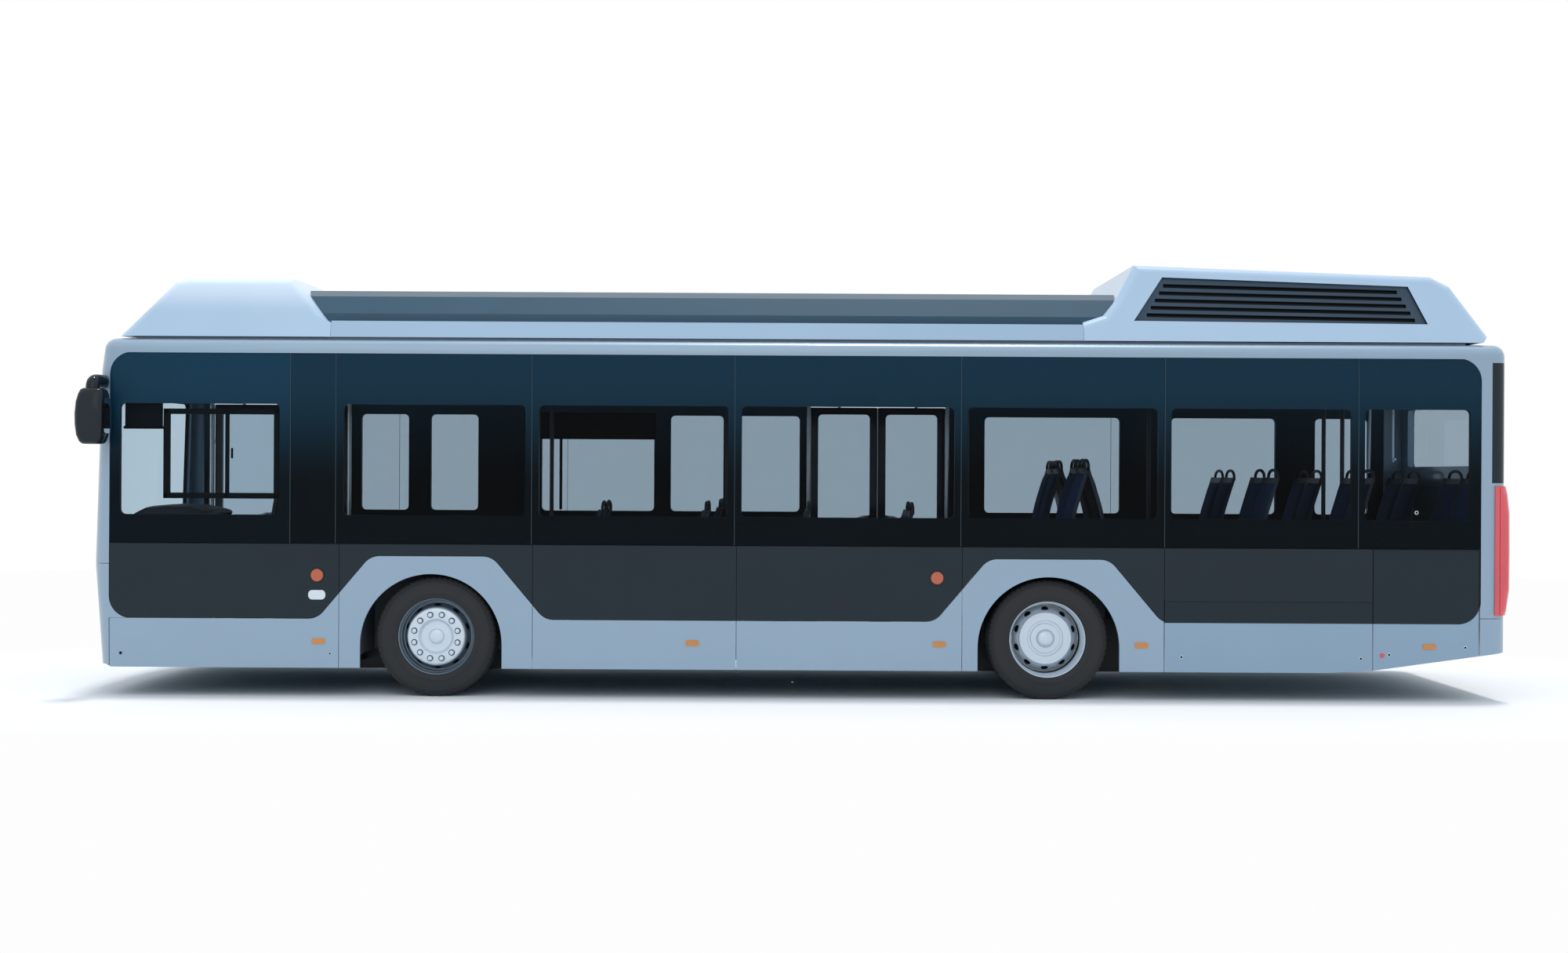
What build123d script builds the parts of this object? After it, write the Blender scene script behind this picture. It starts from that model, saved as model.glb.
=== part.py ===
from build123d import *
import math
import os

# Low-floor city bus with a hydrogen drive, built as separate pieces.
# Millimetres. +X runs to the rear, +Y to the door side, +Z up; origin on the ground under the middle.

# Body box
HALF_WIDTH = 1250.0
TAIL_X = 5465.0
NOSE_BULGE = 90.0
NOSE_CORNER_R = 140.0
TAIL_CORNER_R = 110.0
CANT_R = 90.0
ROOF_Z = 2740.0
ROOF_THICK = 45.0
NOSE_ROWS = (
    # z, x of the nose corner
    (150.0, -5300.0),
    (1010.0, -5364.0),
    (2490.0, -5322.0),
    (ROOF_Z, -5290.0),
)

# Heights of the side
SKIRT_Z = 222.0
BELT_Z = 598.0
GLASS_Z = 1170.0
BAND_TOP_Z = 2628.0
NOSE_SEAM_Z = 1010.0
BUMPER_Z = 240.0
REAR_BUMPER_TOP_Z = 640.0
DEPARTURE_LINE = ((4080.0, SKIRT_Z), (4434.0, 240.0), (5600.0, 404.0))

# Layers of the wall, each measured inward from the outer face
SKIN = 6.0
PANEL = 28.0
WALL = 55.0
JOINT = 0.3
SEAM = 4.0
SWING_GAP = 5.5
BAND_FRONT_X = -5238.0

# Wheels and axles
FRONT_AXLE_X = -2745.0
WHEELBASE = 4698.0
REAR_AXLE_X = FRONT_AXLE_X + WHEELBASE
TYRE_R = 460.0
TYRE_WIDTH = 264.0
RIM_R = 292.0
RIM_WIDTH = 214.0
WHEEL_FACE_Y = HALF_WIDTH - 44.0
TWIN_PITCH = 312.0
SPINDLE_R = 45.0
MOTOR_BACK = 1000.0
REAR_SPINDLE_R = 60.0
KINGPIN_Y = WHEEL_FACE_Y - 311.0
KINGPIN_R = 25.0
BOSS_R = 55.0
WHEEL_Y = WHEEL_FACE_Y - TYRE_WIDTH / 2

# Wheel arches: opening and the light panel around it
ARCH_R = 543.0
ARCH_CENTRE_Z = 400.0
ARCH_PANEL_TOP_Z = 1078.0
ARCH_PANEL_HALF_TOP = 463.0
ARCH_PANEL_HALF_LOW = 870.0
ARCH_PANEL_R = 150.0
FRONT_ARCH_LEAD = 30.0
BOX_HALF = 612.0
REAR_BOX_HALF = 555.0
BOX_INNER_Y = HALF_WIDTH - 690.0
BOX_TOP_Z = 1010.0
BOX_WALL = 12.0

# Floor
FLOOR_Z = 345.0
FLOOR_THICK = 35.0
STEP_X = REAR_AXLE_X - REAR_BOX_HALF + 55.0
PLATFORM_Z = 620.0
PLATFORM_THICK = 30.0
BENCH_X = 4520.0
BENCH_DECK_Z = 950.0
BENCH_THICK = 20.0
RISER = 20.0
BENCH_REAR_X = TAIL_X - TAIL_CORNER_R
CAB_STEP_Z = 520.0
CAB_STEP_X = (-4930.0, -3920.0)
CAB_STEP_Y = (-HALF_WIDTH + 90.0, -260.0)

# Doorways on the right side
DOOR_WIDTH = 1216.0
DOOR_CENTRES_X = (
    BAND_FRONT_X + 78.0 + DOOR_WIDTH / 2,
    REAR_AXLE_X - REAR_BOX_HALF - 35.0 - DOOR_WIDTH / 2,
)
DOOR_TOP_Z = 2350.0
DOOR_EDGE_GAP = 16.0
DOOR_MIDDLE_GAP = 18.0
HEADER_DEPTH = 285.0
HEADER_REACH = 60.0

# Door leaves, each carried by the arms of a turning pillar that stands behind the door post
ARM_THICK = 20.0
LEAF_THICK = 36.0
LEAF_WIDTH = (DOOR_WIDTH - 2 * DOOR_EDGE_GAP - DOOR_MIDDLE_GAP) / 2
LEAF_Z = (FLOOR_Z + 2 * SWING_GAP + ARM_THICK, DOOR_TOP_Z - 2 * SWING_GAP - ARM_THICK)
LEAF_BORDER = 62.0
LEAF_PANE_LOW_Z = 470.0
PILLAR_R = 20.0
PILLAR_BACK = WALL + PILLAR_R + 7.0
HINGE_BACK = LEAF_THICK / 2
HINGE_IN = 250.0
ARM = HINGE_IN + PILLAR_R + 10.0
ARM_RISE = PILLAR_BACK - HINGE_BACK
ARM_RUN = math.sqrt(ARM**2 - ARM_RISE**2)
ARM_ROWS_Z = (FLOOR_Z + SWING_GAP, LEAF_Z[1] + SWING_GAP)
LUG_R = 16.0
DOOR_PIN_R = 8.0
COLLAR_R = 13.0

# Dark band along the side
BAND_REAR_X = 5256.0
BAND_R = 170.0
PANE_SEAMS_X = (-3858.0, -3510.0, -2010.0, -456.0, 1278.0, 2838.0, 4320.0)
PANEL_SEAMS_X = (-3480.0, -1998.0, -438.0, 1290.0, 2838.0, 4434.0)
WINDOW_LOW_Z = 1390.0
WINDOW_TOP_Z = 2240.0
WINDOW_R = 40.0
LEFT_WINDOWS = (
    # x from, x to
    (-5166.0, -3942.0),
    (-3455.0, -2060.0),
    (-1960.0, -506.0),
    (-406.0, 1228.0),
    (1328.0, 2788.0),
    (2888.0, 4270.0),
    (4370.0, 5180.0),
)
RIGHT_WINDOWS = (
    # x from, x to
    (DOOR_CENTRES_X[0] + DOOR_WIDTH / 2 + 104.0, -3418.0),
    (-3222.0, -2800.0),
    (-2235.0, -1234.0),
    (-1087.0, -618.0),
    (-480.0, DOOR_CENTRES_X[1] - DOOR_WIDTH / 2 - 87.0),
    (1706.0, 2910.0),
    (3366.0, 4296.0),
    (4646.0, 5120.0),
)

# Flaps on the sides and the hatch at the rear
FLAP_ROWS = (
    # name, x from, x to, top z
    ("side_flap", 2838.0, 4434.0, 762.0),
    ("corner_flap", 4434.0, 5248.0, 1160.0),
)
HINGE_R = 4.0
HATCH_HALF_Y = HALF_WIDTH - 350.0
HATCH_LOW_Z = 662.0
HATCH_TOP_Z = 1640.0
HATCH_THICK = 40.0
HATCH_SLOTS = 9

# Nose
SCREEN_HALF_Y = HALF_WIDTH - 165.0
SCREEN_LOW_Z = 1120.0
SCREEN_TOP_Z = 2590.0
SCREEN_R = 130.0
SCREEN_THICK = 8.0
LAMP_Y = (HALF_WIDTH - 600.0, HALF_WIDTH - 140.0)
LAMP_Z = (640.0, 815.0)

# Tail
REAR_GLASS_X = 5341.0
REAR_GLASS_Z = (1680.0, 2600.0)
REAR_WINDOW_HALF_Y = HALF_WIDTH - 250.0
REAR_WINDOW_Z = (1815.0, 2310.0)
TAIL_LAMP_X = 5364.0
TAIL_LAMP_Y = HALF_WIDTH - 240.0
TAIL_LAMP_Z = (667.0, 1657.0)
TAIL_LAMP_PROUD = 14.0

# Roof covers
COVER_BASE_HALF = HALF_WIDTH - 54.0
PLINTH_HALF_Y = COVER_BASE_HALF - 81.0
PLINTH_X = (-5080.0, 5180.0)
PLINTH_Z = 2758.0
COVER_LEAN = 0.29
COVER_SHELL = 30.0
COVER_GAP = 2.0
FRONT_POD = (
    # x, z
    (-5190.0, PLINTH_Z),
    (-4800.0, 3190.0),
    (-4700.0, 3212.0),
    (-3880.0, 3214.0),
    (-3606.0, 2885.0),
    (-3570.0, 2870.0),
    (-3570.0, PLINTH_Z),
)
REAR_POD = (
    # x, z
    (2222.0, PLINTH_Z),
    (2222.0, 2905.0),
    (2382.0, 2958.0),
    (2472.0, 3062.0),
    (2634.0, 3360.0),
    (4932.0, 3280.0),
    (5082.0, 3200.0),
    (5334.0, 2812.0),
    (5290.0, PLINTH_Z),
)
POD_EDGE_R = 70.0
GRILLE = (
    # x, z
    (2612.0, 2916.0),
    (2846.0, 3262.0),
    (4745.0, 3198.0),
    (4875.0, 2900.0),
)
GRILLE_DEPTH = 20.0
GRILLE_SLOTS = 5
GRILLE_SLOT_HALF = 12.0
GRILLE_SLOT_ENDS = (
    # x and z at the front end, x and z at the rear end
    (2718.0, 2964.0, 4782.0, 2932.0),
    (2856.0, 3196.0, 4662.0, 3154.0),
)
STRIP_TOP_Z = 2884.0
VAULT_BASE_HALF = COVER_BASE_HALF - 111.0
VAULT_SHOULDER = (
    # y, z
    (VAULT_BASE_HALF - 25.0, 2950.0),
    (VAULT_BASE_HALF - 125.0, 3090.0),
    (VAULT_BASE_HALF - 325.0, 3150.0),
)
VAULT_X = (-3860.0, 2560.0)
TANK_GAP = 50.0
TANK_PITCH = 2 * (VAULT_BASE_HALF - 425.0) / 3
TANK_R = (TANK_PITCH - TANK_GAP) / 2
TANK_ROWS_Y = tuple(row * TANK_PITCH for row in (-1.5, -0.5, 0.5, 1.5))
TANK_X = (-3300.0, 1900.0)

# Seats: cushion, back and stem
SEAT_WIDTH = 860.0
SEAT_DEPTH = 440.0
CUSHION_THICK = 85.0
SEAT_RISE = 440.0
BACK_CURVE = (
    # rise over the seat, way forward of the front face and of the rear face
    (-75.0, 30.0, -32.0),
    (60.0, 20.0, -40.0),
    (330.0, -18.0, -64.0),
    (650.0, -62.0, -92.0),
)
CUSHION_BACK = BACK_CURVE[0][1] - 0.7
SEAT_Y = HALF_WIDTH - WALL - SEAT_WIDTH / 2 - 30.0
SEAT_ROWS = (
    # x of the back foot, y centre, floor z, seat top z, way faced (-1 forward, 1 rearward)
    (-1560.0, -SEAT_Y, FLOOR_Z, FLOOR_Z + SEAT_RISE, -1),
    (-760.0, -SEAT_Y, FLOOR_Z, FLOOR_Z + SEAT_RISE, -1),
    (40.0, -SEAT_Y, FLOOR_Z, FLOOR_Z + SEAT_RISE, -1),
    (840.0, -SEAT_Y, FLOOR_Z, FLOOR_Z + SEAT_RISE, -1),
    (-700.0, SEAT_Y, FLOOR_Z, FLOOR_Z + SEAT_RISE, -1),
    (2196.0, -SEAT_Y, BOX_TOP_Z, PLATFORM_Z + SEAT_RISE + 70.0, -1),
    (2196.0, SEAT_Y, BOX_TOP_Z, PLATFORM_Z + SEAT_RISE + 70.0, -1),
    (2330.0, -SEAT_Y, BOX_TOP_Z, PLATFORM_Z + SEAT_RISE + 70.0, 1),
    (2330.0, SEAT_Y, BOX_TOP_Z, PLATFORM_Z + SEAT_RISE + 70.0, 1),
    (3660.0, -SEAT_Y, PLATFORM_Z, PLATFORM_Z + SEAT_RISE, -1),
    (3660.0, SEAT_Y, PLATFORM_Z, PLATFORM_Z + SEAT_RISE, -1),
    (4400.0, -SEAT_Y, PLATFORM_Z, PLATFORM_Z + SEAT_RISE, -1),
    (4400.0, SEAT_Y, PLATFORM_Z, PLATFORM_Z + SEAT_RISE, -1),
    (5230.0, -SEAT_Y, BENCH_DECK_Z, BENCH_DECK_Z + 110.0, -1),
    (5230.0, SEAT_Y, BENCH_DECK_Z, BENCH_DECK_Z + 110.0, -1),
)
POLE_R = 17.5
POLES = (
    # x, y, floor z
    (-2060.0, -480.0, FLOOR_Z),
    (-2060.0, 480.0, FLOOR_Z),
    (-440.0, -330.0, FLOOR_Z),
    (-560.0, 420.0, FLOOR_Z),
    (1400.0, 420.0, FLOOR_Z),
    (1400.0, -420.0, FLOOR_Z),
    (3000.0, -300.0, PLATFORM_Z),
    (3000.0, 300.0, PLATFORM_Z),
    (4470.0, -275.0, PLATFORM_Z),
    (4470.0, 275.0, PLATFORM_Z),
)

# Side lamps: centres, and half sizes of the bar lamps
MARKER_HALF = (50.0, 21.0)
MARKER_Z = 425.0
MARKER_PROUD = 6.0
MARKERS = (
    # x, z
    (FRONT_AXLE_X - 891.0, MARKER_Z),
    (-774.0, MARKER_Z),
    (REAR_AXLE_X - 837.0, MARKER_Z),
    (REAR_AXLE_X + 711.0, MARKER_Z),
)
ROUND_LAMPS = (
    # x, z, radius
    (FRONT_AXLE_X - 903.0, 930.0, 47.0),
    (REAR_AXLE_X - 855.0, 932.0, 47.0),
)
CLEAR_LAMP = (FRONT_AXLE_X - 903.0, 780.0)
CLEAR_LAMP_HALF = (65.0, 36.0)

# Underframe
RAIL_Y = HALF_WIDTH - 800.0
RAIL_HALF = 40.0
LOW_RAIL_Z = 228.0
HIGH_RAIL_Z = 540.0
CROSS_HALF = 35.0
EYE_R = 22.0
EYE_THICK = 30.0
EYE_HALF = 40.0
FRAME_ROWS = (
    # x from, x to, rail bottom z, rail top z, cross members, reach of the outriggers
    (-5300.0, -3420.0, LOW_RAIL_Z, FLOOR_Z - FLOOR_THICK, 4, HALF_WIDTH - PANEL),
    (-2080.0, STEP_X - 130.0, LOW_RAIL_Z, FLOOR_Z - FLOOR_THICK, 6, HALF_WIDTH - PANEL),
    (STEP_X + 50.0, 5300.0, HIGH_RAIL_Z, PLATFORM_Z - PLATFORM_THICK, 5, HALF_WIDTH - WALL),
)
TOWING_EYES = (
    # x of the bore, underside z
    (FRAME_ROWS[0][0] + 2 * CROSS_HALF + EYE_HALF + JOINT, LOW_RAIL_Z),
    (FRAME_ROWS[2][1] - 2 * CROSS_HALF - EYE_HALF - JOINT, HIGH_RAIL_Z),
)


def block(x, y, z):
    centre = Pos((x[0] + x[1]) / 2, (y[0] + y[1]) / 2, (z[0] + z[1]) / 2)
    return centre * Box(x[1] - x[0], y[1] - y[0], z[1] - z[0])


def side_prism(sketch, y_from, y_to):
    plane = Plane(origin=(0, y_to, 0), x_dir=(1, 0, 0), z_dir=(0, -1, 0))
    return extrude(plane * sketch, y_to - y_from)


def end_prism(sketch, x_from, x_to):
    plane = Plane(origin=(x_from, 0, 0), x_dir=(0, 1, 0), z_dir=(1, 0, 0))
    return extrude(plane * sketch, x_to - x_from)


def outline(points):
    return make_face(Polyline(*points, close=True))


def rectangle(x, z, radius=0.0):
    centre = Pos((x[0] + x[1]) / 2, (z[0] + z[1]) / 2)
    if radius:
        return centre * RectangleRounded(x[1] - x[0], z[1] - z[0], radius)
    return centre * Rectangle(x[1] - x[0], z[1] - z[0])


def pair(piece):
    return [piece, mirror(piece, about=Plane.XZ)]


def solids(shapes):
    found = []
    for shape in shapes:
        found += list(shape.solids())
    return found


def plan_face(x_front, z, inset):
    front = x_front + inset
    rear = TAIL_X - inset
    side = HALF_WIDTH - inset
    edges = [
        Line((front, -side), (rear, -side)),
        Line((rear, -side), (rear, side)),
        Line((rear, side), (front, side)),
        ThreePointArc((front, side), (front - NOSE_BULGE, 0), (front, -side)),
    ]
    face = make_face(edges)
    face = fillet(face.vertices().sort_by(Axis.X)[:2], NOSE_CORNER_R - inset)
    face = fillet(face.vertices().sort_by(Axis.X)[-2:], TAIL_CORNER_R - inset)
    return Pos(0, 0, z) * face


def envelope(inset):
    rows = [plan_face(x, min(z, ROOF_Z - inset), inset) for z, x in NOSE_ROWS]
    body = loft(rows, ruled=True)
    top = body.faces().sort_by(Axis.Z)[-1]
    return fillet(top.edges(), CANT_R - inset)


# Shared layers of the body shell
OUTER = envelope(0)
BEHIND_SKIN = envelope(SKIN)
FRAME_OUTER = envelope(SKIN + JOINT)
BEHIND_PANEL = envelope(PANEL)
INNER = envelope(WALL)
BODY_Z = (BUMPER_Z, BAND_TOP_Z)
FAR = 6000.0
AXLES_X = (FRONT_AXLE_X, REAR_AXLE_X)

departure = side_prism(
    outline((*DEPARTURE_LINE, (DEPARTURE_LINE[-1][0], 0), (DEPARTURE_LINE[0][0], 0))), -FAR, FAR)


# Side outlines, drawn once and cut from every layer
def band_outline(grow):
    return rectangle((BAND_FRONT_X - grow, BAND_REAR_X + grow), (BELT_Z - grow, BAND_TOP_Z + grow),
                     BAND_R + grow)


def arch_centre(axle_x):
    return axle_x - FRONT_ARCH_LEAD if axle_x == FRONT_AXLE_X else axle_x


def light_region():
    points = [(-FAR, 0), (-FAR, BELT_Z - SEAM / 2)]
    for axle_x in AXLES_X:
        middle = arch_centre(axle_x)
        points.append((middle - ARCH_PANEL_HALF_LOW, BELT_Z - SEAM / 2))
        points.append((middle - ARCH_PANEL_HALF_TOP, ARCH_PANEL_TOP_Z))
        points.append((middle + ARCH_PANEL_HALF_TOP, ARCH_PANEL_TOP_Z))
        points.append((middle + ARCH_PANEL_HALF_LOW, BELT_Z - SEAM / 2))
    face = outline((*points, (FAR, BELT_Z - SEAM / 2), (FAR, 0)))
    corners = [corner for corner in face.vertices() if corner.Y > 1.0 and abs(corner.X) < FAR - 1.0]
    return fillet(corners, ARCH_PANEL_R)


def arch_opening(axle_x):
    middle = arch_centre(axle_x)
    legs = rectangle((middle - ARCH_R, middle + ARCH_R), (0, ARCH_CENTRE_Z))
    return legs + Pos(middle, ARCH_CENTRE_Z) * Circle(ARCH_R)


def door_edges(centre_x):
    return (centre_x - DOOR_WIDTH / 2, centre_x + DOOR_WIDTH / 2)


LIGHT = light_region()
LIGHT_CUT = offset(LIGHT, SEAM)
ARCH_HOLES = arch_opening(FRONT_AXLE_X) + arch_opening(REAR_AXLE_X)
DOOR_HOLES = [rectangle(door_edges(x), (FLOOR_Z, DOOR_TOP_Z)) for x in DOOR_CENTRES_X]
FLAP_CUTS = [rectangle((x0 - SWING_GAP / 2, x1 + SWING_GAP / 2), (0, top + HINGE_R + JOINT))
             for name, x0, x1, top in FLAP_ROWS]


def without(face, cuts):
    for cut in cuts:
        if face:
            face = face - cut
    return face


def side_layer(layer, face, side):
    y_from, y_to = (-HALF_WIDTH - 1, -HALF_WIDTH + 200) if side < 0 else (HALF_WIDTH - 200, HALF_WIDTH + 1)
    return layer & side_prism(face, y_from, y_to)


skin_layer = OUTER - BEHIND_SKIN
frame_layer = FRAME_OUTER - INNER
panel_layer = OUTER - BEHIND_PANEL
wall_layer = OUTER - INNER


def bays(seams, first, last):
    ends = [first, *seams, last]
    return [(a + SEAM / 2, b - SEAM / 2) for a, b in zip(ends, ends[1:])]


# Glass of both sides
def side_glazing():
    panes = []
    upper = band_outline(0) & rectangle((-FAR, FAR), (GLASS_Z + SEAM / 2, BAND_TOP_Z))
    for side in (-1, 1):
        for x0, x1 in bays(PANE_SEAMS_X, BAND_FRONT_X - SEAM, BAND_REAR_X + SEAM):
            face = upper & rectangle((x0, x1), (0, BAND_TOP_Z))
            if side > 0:
                face = without(face, DOOR_HOLES)
            if face:
                panes.append(side_layer(skin_layer, face, side))
    return solids(panes)


# Dark panels under the glass
def band_panels():
    panels = []
    lower = band_outline(0) & rectangle((-FAR, FAR), (BELT_Z, GLASS_Z - SEAM / 2))
    lower = without(lower, [LIGHT_CUT, *FLAP_CUTS])
    for side in (-1, 1):
        for x0, x1 in bays(PANEL_SEAMS_X, BAND_FRONT_X - SEAM, BAND_REAR_X + SEAM):
            face = lower & rectangle((x0, x1), (0, BAND_TOP_Z))
            if side > 0:
                face = without(face, DOOR_HOLES)
            if face:
                panels.append(side_layer(skin_layer, face, side))
    return solids(panels)


# Light skirts with the panels around the wheel arches
def skirt_panels():
    panels = []
    low = LIGHT & rectangle((BAND_FRONT_X, FLAP_ROWS[0][1]), (SKIRT_Z, BAND_TOP_Z))
    low = without(low, [ARCH_HOLES, *FLAP_CUTS])
    for side in (-1, 1):
        for x0, x1 in bays(PANEL_SEAMS_X, BAND_FRONT_X, BAND_REAR_X):
            face = low & rectangle((x0, x1), (0, BAND_TOP_Z))
            if side > 0:
                face = without(face, DOOR_HOLES)
            if face:
                panels.append(side_layer(panel_layer, face, side))
    return [piece for piece in solids(panels) if piece.volume > 1e5]


# Load-bearing side walls with the window openings
def side_frames():
    frames = []
    face = without(band_outline(-JOINT), [LIGHT_CUT, *FLAP_CUTS])
    for side, windows in ((-1, LEFT_WINDOWS), (1, RIGHT_WINDOWS)):
        openings = [rectangle(row, (WINDOW_LOW_Z, WINDOW_TOP_Z), WINDOW_R) for row in windows]
        wall = without(face, openings)
        if side > 0:
            for centre in DOOR_CENTRES_X:
                x0, x1 = door_edges(centre)
                wall = wall - rectangle((x0, x1), (0, DOOR_TOP_Z))
                wall = wall - rectangle((x0 - JOINT, x0), (0, FAR)) - rectangle((x1, x1 + JOINT), (0, FAR))
        frames.append(side_layer(frame_layer, wall, side))
    return solids(frames)


def roof_panel():
    shell = OUTER - envelope(ROOF_THICK)
    shell = shell & block((-FAR, FAR), (-FAR, FAR), (BAND_TOP_Z + JOINT, ROOF_Z))
    plinth = block(PLINTH_X, (-PLINTH_HALF_Y, PLINTH_HALF_Y), (ROOF_Z - 1, PLINTH_Z - JOINT))
    return (shell + plinth).solids()


# Nose: mask with the windscreen, bumper with the headlamps
def screen_prism(grow):
    face = rectangle((-SCREEN_HALF_Y - grow, SCREEN_HALF_Y + grow), (SCREEN_LOW_Z - grow, SCREEN_TOP_Z + grow),
                     SCREEN_R + grow)
    return end_prism(face, -FAR, -5000.0)


def lamp_prism(grow):
    face = rectangle((LAMP_Y[0] - grow, LAMP_Y[1] + grow), (LAMP_Z[0] - grow, LAMP_Z[1] + grow), 40.0)
    lamp = end_prism(face, -FAR, -5150.0)
    return lamp + mirror(lamp, about=Plane.XZ)


def nose_blank(z_from, z_to):
    blank = panel_layer & block((-FAR, BAND_FRONT_X + BAND_R), (-FAR, FAR), (z_from, z_to))
    blank = blank - side_prism(band_outline(SEAM), -FAR, FAR)
    skirts = block((BAND_FRONT_X - SEAM, FAR), (-FAR, FAR), (0, BELT_Z))
    doorway = side_prism(DOOR_HOLES[0], 0, FAR)
    return blank - skirts - doorway


def front_mask():
    return (nose_blank(NOSE_SEAM_Z + SEAM, BAND_TOP_Z) - screen_prism(JOINT)).solids()


def windscreen():
    return ((OUTER - envelope(SCREEN_THICK)) & screen_prism(0)).solids()


def front_bumper():
    return (nose_blank(BUMPER_Z, NOSE_SEAM_Z) - lamp_prism(JOINT)).solids()


def headlamps():
    return (panel_layer & lamp_prism(0)).solids()


# Tail: wall, glass, corner lamps and bumper
def tail_lamp_box(grow):
    lamp = block((TAIL_LAMP_X - grow, FAR), (TAIL_LAMP_Y - grow, FAR),
                 (TAIL_LAMP_Z[0] - grow, TAIL_LAMP_Z[1] + grow))
    return lamp + mirror(lamp, about=Plane.XZ)


def rear_glass_box(grow):
    return block((REAR_GLASS_X - grow, FAR), (-FAR, FAR), (REAR_GLASS_Z[0] - grow, REAR_GLASS_Z[1] + grow))


def tail_blank(z_from, z_to):
    blank = wall_layer & block((BAND_REAR_X - BAND_R, FAR), (-FAR, FAR), (z_from, z_to))
    blank = blank - side_prism(band_outline(SEAM), -FAR, FAR)
    flaps = block((-FAR, FLAP_ROWS[-1][2] + SWING_GAP), (-FAR, FAR), (0, FLAP_ROWS[-1][3] + SEAM + HINGE_R))
    return blank - flaps


def rear_wall():
    wall = tail_blank(REAR_BUMPER_TOP_Z + SEAM, BAND_TOP_Z)
    wall = wall - ((OUTER - FRAME_OUTER) & rear_glass_box(JOINT))
    wall = wall - end_prism(rectangle((-REAR_WINDOW_HALF_Y, REAR_WINDOW_HALF_Y), REAR_WINDOW_Z, WINDOW_R), 5000.0, FAR)
    wall = wall - block((5000.0, FAR), (-HATCH_HALF_Y - SWING_GAP, HATCH_HALF_Y + SWING_GAP),
                        (HATCH_LOW_Z - SWING_GAP, HATCH_TOP_Z + HINGE_R + JOINT))
    return (wall - tail_lamp_box(JOINT)).solids()


def rear_window():
    return (skin_layer & rear_glass_box(0)).solids()


def rear_lamps():
    proud = envelope(-TAIL_LAMP_PROUD) - INNER
    return (proud & tail_lamp_box(0)).solids()


def rear_bumper():
    return (tail_blank(BUMPER_Z, REAR_BUMPER_TOP_Z) - departure).solids()


def rear_hatch():
    hatch = block((TAIL_X - HATCH_THICK, TAIL_X), (-HATCH_HALF_Y, HATCH_HALF_Y), (HATCH_LOW_Z, HATCH_TOP_Z))
    pitch = 70.0
    for row in range(HATCH_SLOTS):
        z = HATCH_LOW_Z + 180.0 + row * pitch
        hatch = hatch - block((TAIL_X - 14.0, TAIL_X + 1), (-HATCH_HALF_Y + 90.0, HATCH_HALF_Y - 90.0), (z, z + 26.0))
    barrel = Pos(TAIL_X, 0, HATCH_TOP_Z) * Rot(90, 0, 0) * Cylinder(HINGE_R, 2 * HATCH_HALF_Y)
    return (hatch + barrel).solids()


# Flaps hung on a hinge along the top edge
def side_flap(row, side):
    name, x0, x1, top = row
    face = rectangle((x0 + SWING_GAP / 2, x1 - SWING_GAP / 2), (SKIRT_Z, top))
    flap = side_layer(panel_layer, face, side) - departure
    middle = Pos((x0 + x1) / 2, side * HALF_WIDTH, top)
    barrel = middle * Rot(0, 90, 0) * Cylinder(HINGE_R, x1 - x0 - SWING_GAP)
    return (flap + barrel).solids()


# Roof covers, hollow and open below
def lean_section(inset, base_z):
    base = COVER_BASE_HALF - inset
    top_z = 3500.0
    top = base - (top_z - base_z) * COVER_LEAN
    return end_prism(outline(((-base, base_z), (base, base_z), (top, top_z), (-top, top_z))), -FAR, FAR)


def pod(points, inset):
    face = outline(points)
    if inset:
        face = offset(face, -inset, kind=Kind.INTERSECTION)
    blank = side_prism(face, -FAR / 2, FAR / 2) & lean_section(inset, PLINTH_Z)
    if inset:
        blank = blank + Pos(0, 0, -inset) * blank
        return blank
    crown = [edge for edge in blank.edges() if edge.center().Z > STRIP_TOP_Z + 40.0 and abs(edge.center().Y) > 500.0]
    return fillet(crown, POD_EDGE_R)


def front_roof_pod():
    return (pod(FRONT_POD, 0) - pod(FRONT_POD, COVER_SHELL)).solids()


def grille_slot(share):
    x0, z0, x1, z1 = [low + share * (high - low) for low, high in zip(*GRILLE_SLOT_ENDS)]
    rise = GRILLE_SLOT_HALF
    return outline(((x0, z0 - rise), (x1, z1 - rise), (x1, z1 + rise), (x0, z0 + rise)))


def rear_roof_pod():
    shell = pod(REAR_POD, 0) - pod(REAR_POD, COVER_SHELL)
    recess = outline(GRILLE)
    for side in (-1, 1):
        y_from, y_to = (-FAR, 0) if side < 0 else (0, FAR)
        shell = shell - (side_prism(recess, y_from, y_to) - lean_section(GRILLE_DEPTH, PLINTH_Z))
        for row in range(GRILLE_SLOTS):
            slot = side_prism(grille_slot(row / (GRILLE_SLOTS - 1)), y_from, y_to)
            shell = shell - (slot - lean_section(2 * COVER_SHELL, PLINTH_Z))
    return shell.solids()


def pod_keepout(points):
    return side_prism(offset(outline(points), COVER_GAP, kind=Kind.INTERSECTION), -FAR, FAR)


def roof_strips():
    face = lean_section(0, PLINTH_Z) - lean_section(COVER_SHELL, PLINTH_Z)
    strip = face & block((FRONT_POD[-1][0] + COVER_GAP, REAR_POD[0][0] - COVER_GAP), (-FAR, FAR),
                         (PLINTH_Z, STRIP_TOP_Z))
    foot = block((FRONT_POD[-1][0] + COVER_GAP, REAR_POD[0][0] - COVER_GAP), (VAULT_BASE_HALF + COVER_GAP, COVER_BASE_HALF - COVER_SHELL + 6.0),
                 (PLINTH_Z, PLINTH_Z + 12.0))
    feet = foot + mirror(foot, about=Plane.XZ)
    return (strip + feet).solids()


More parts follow.
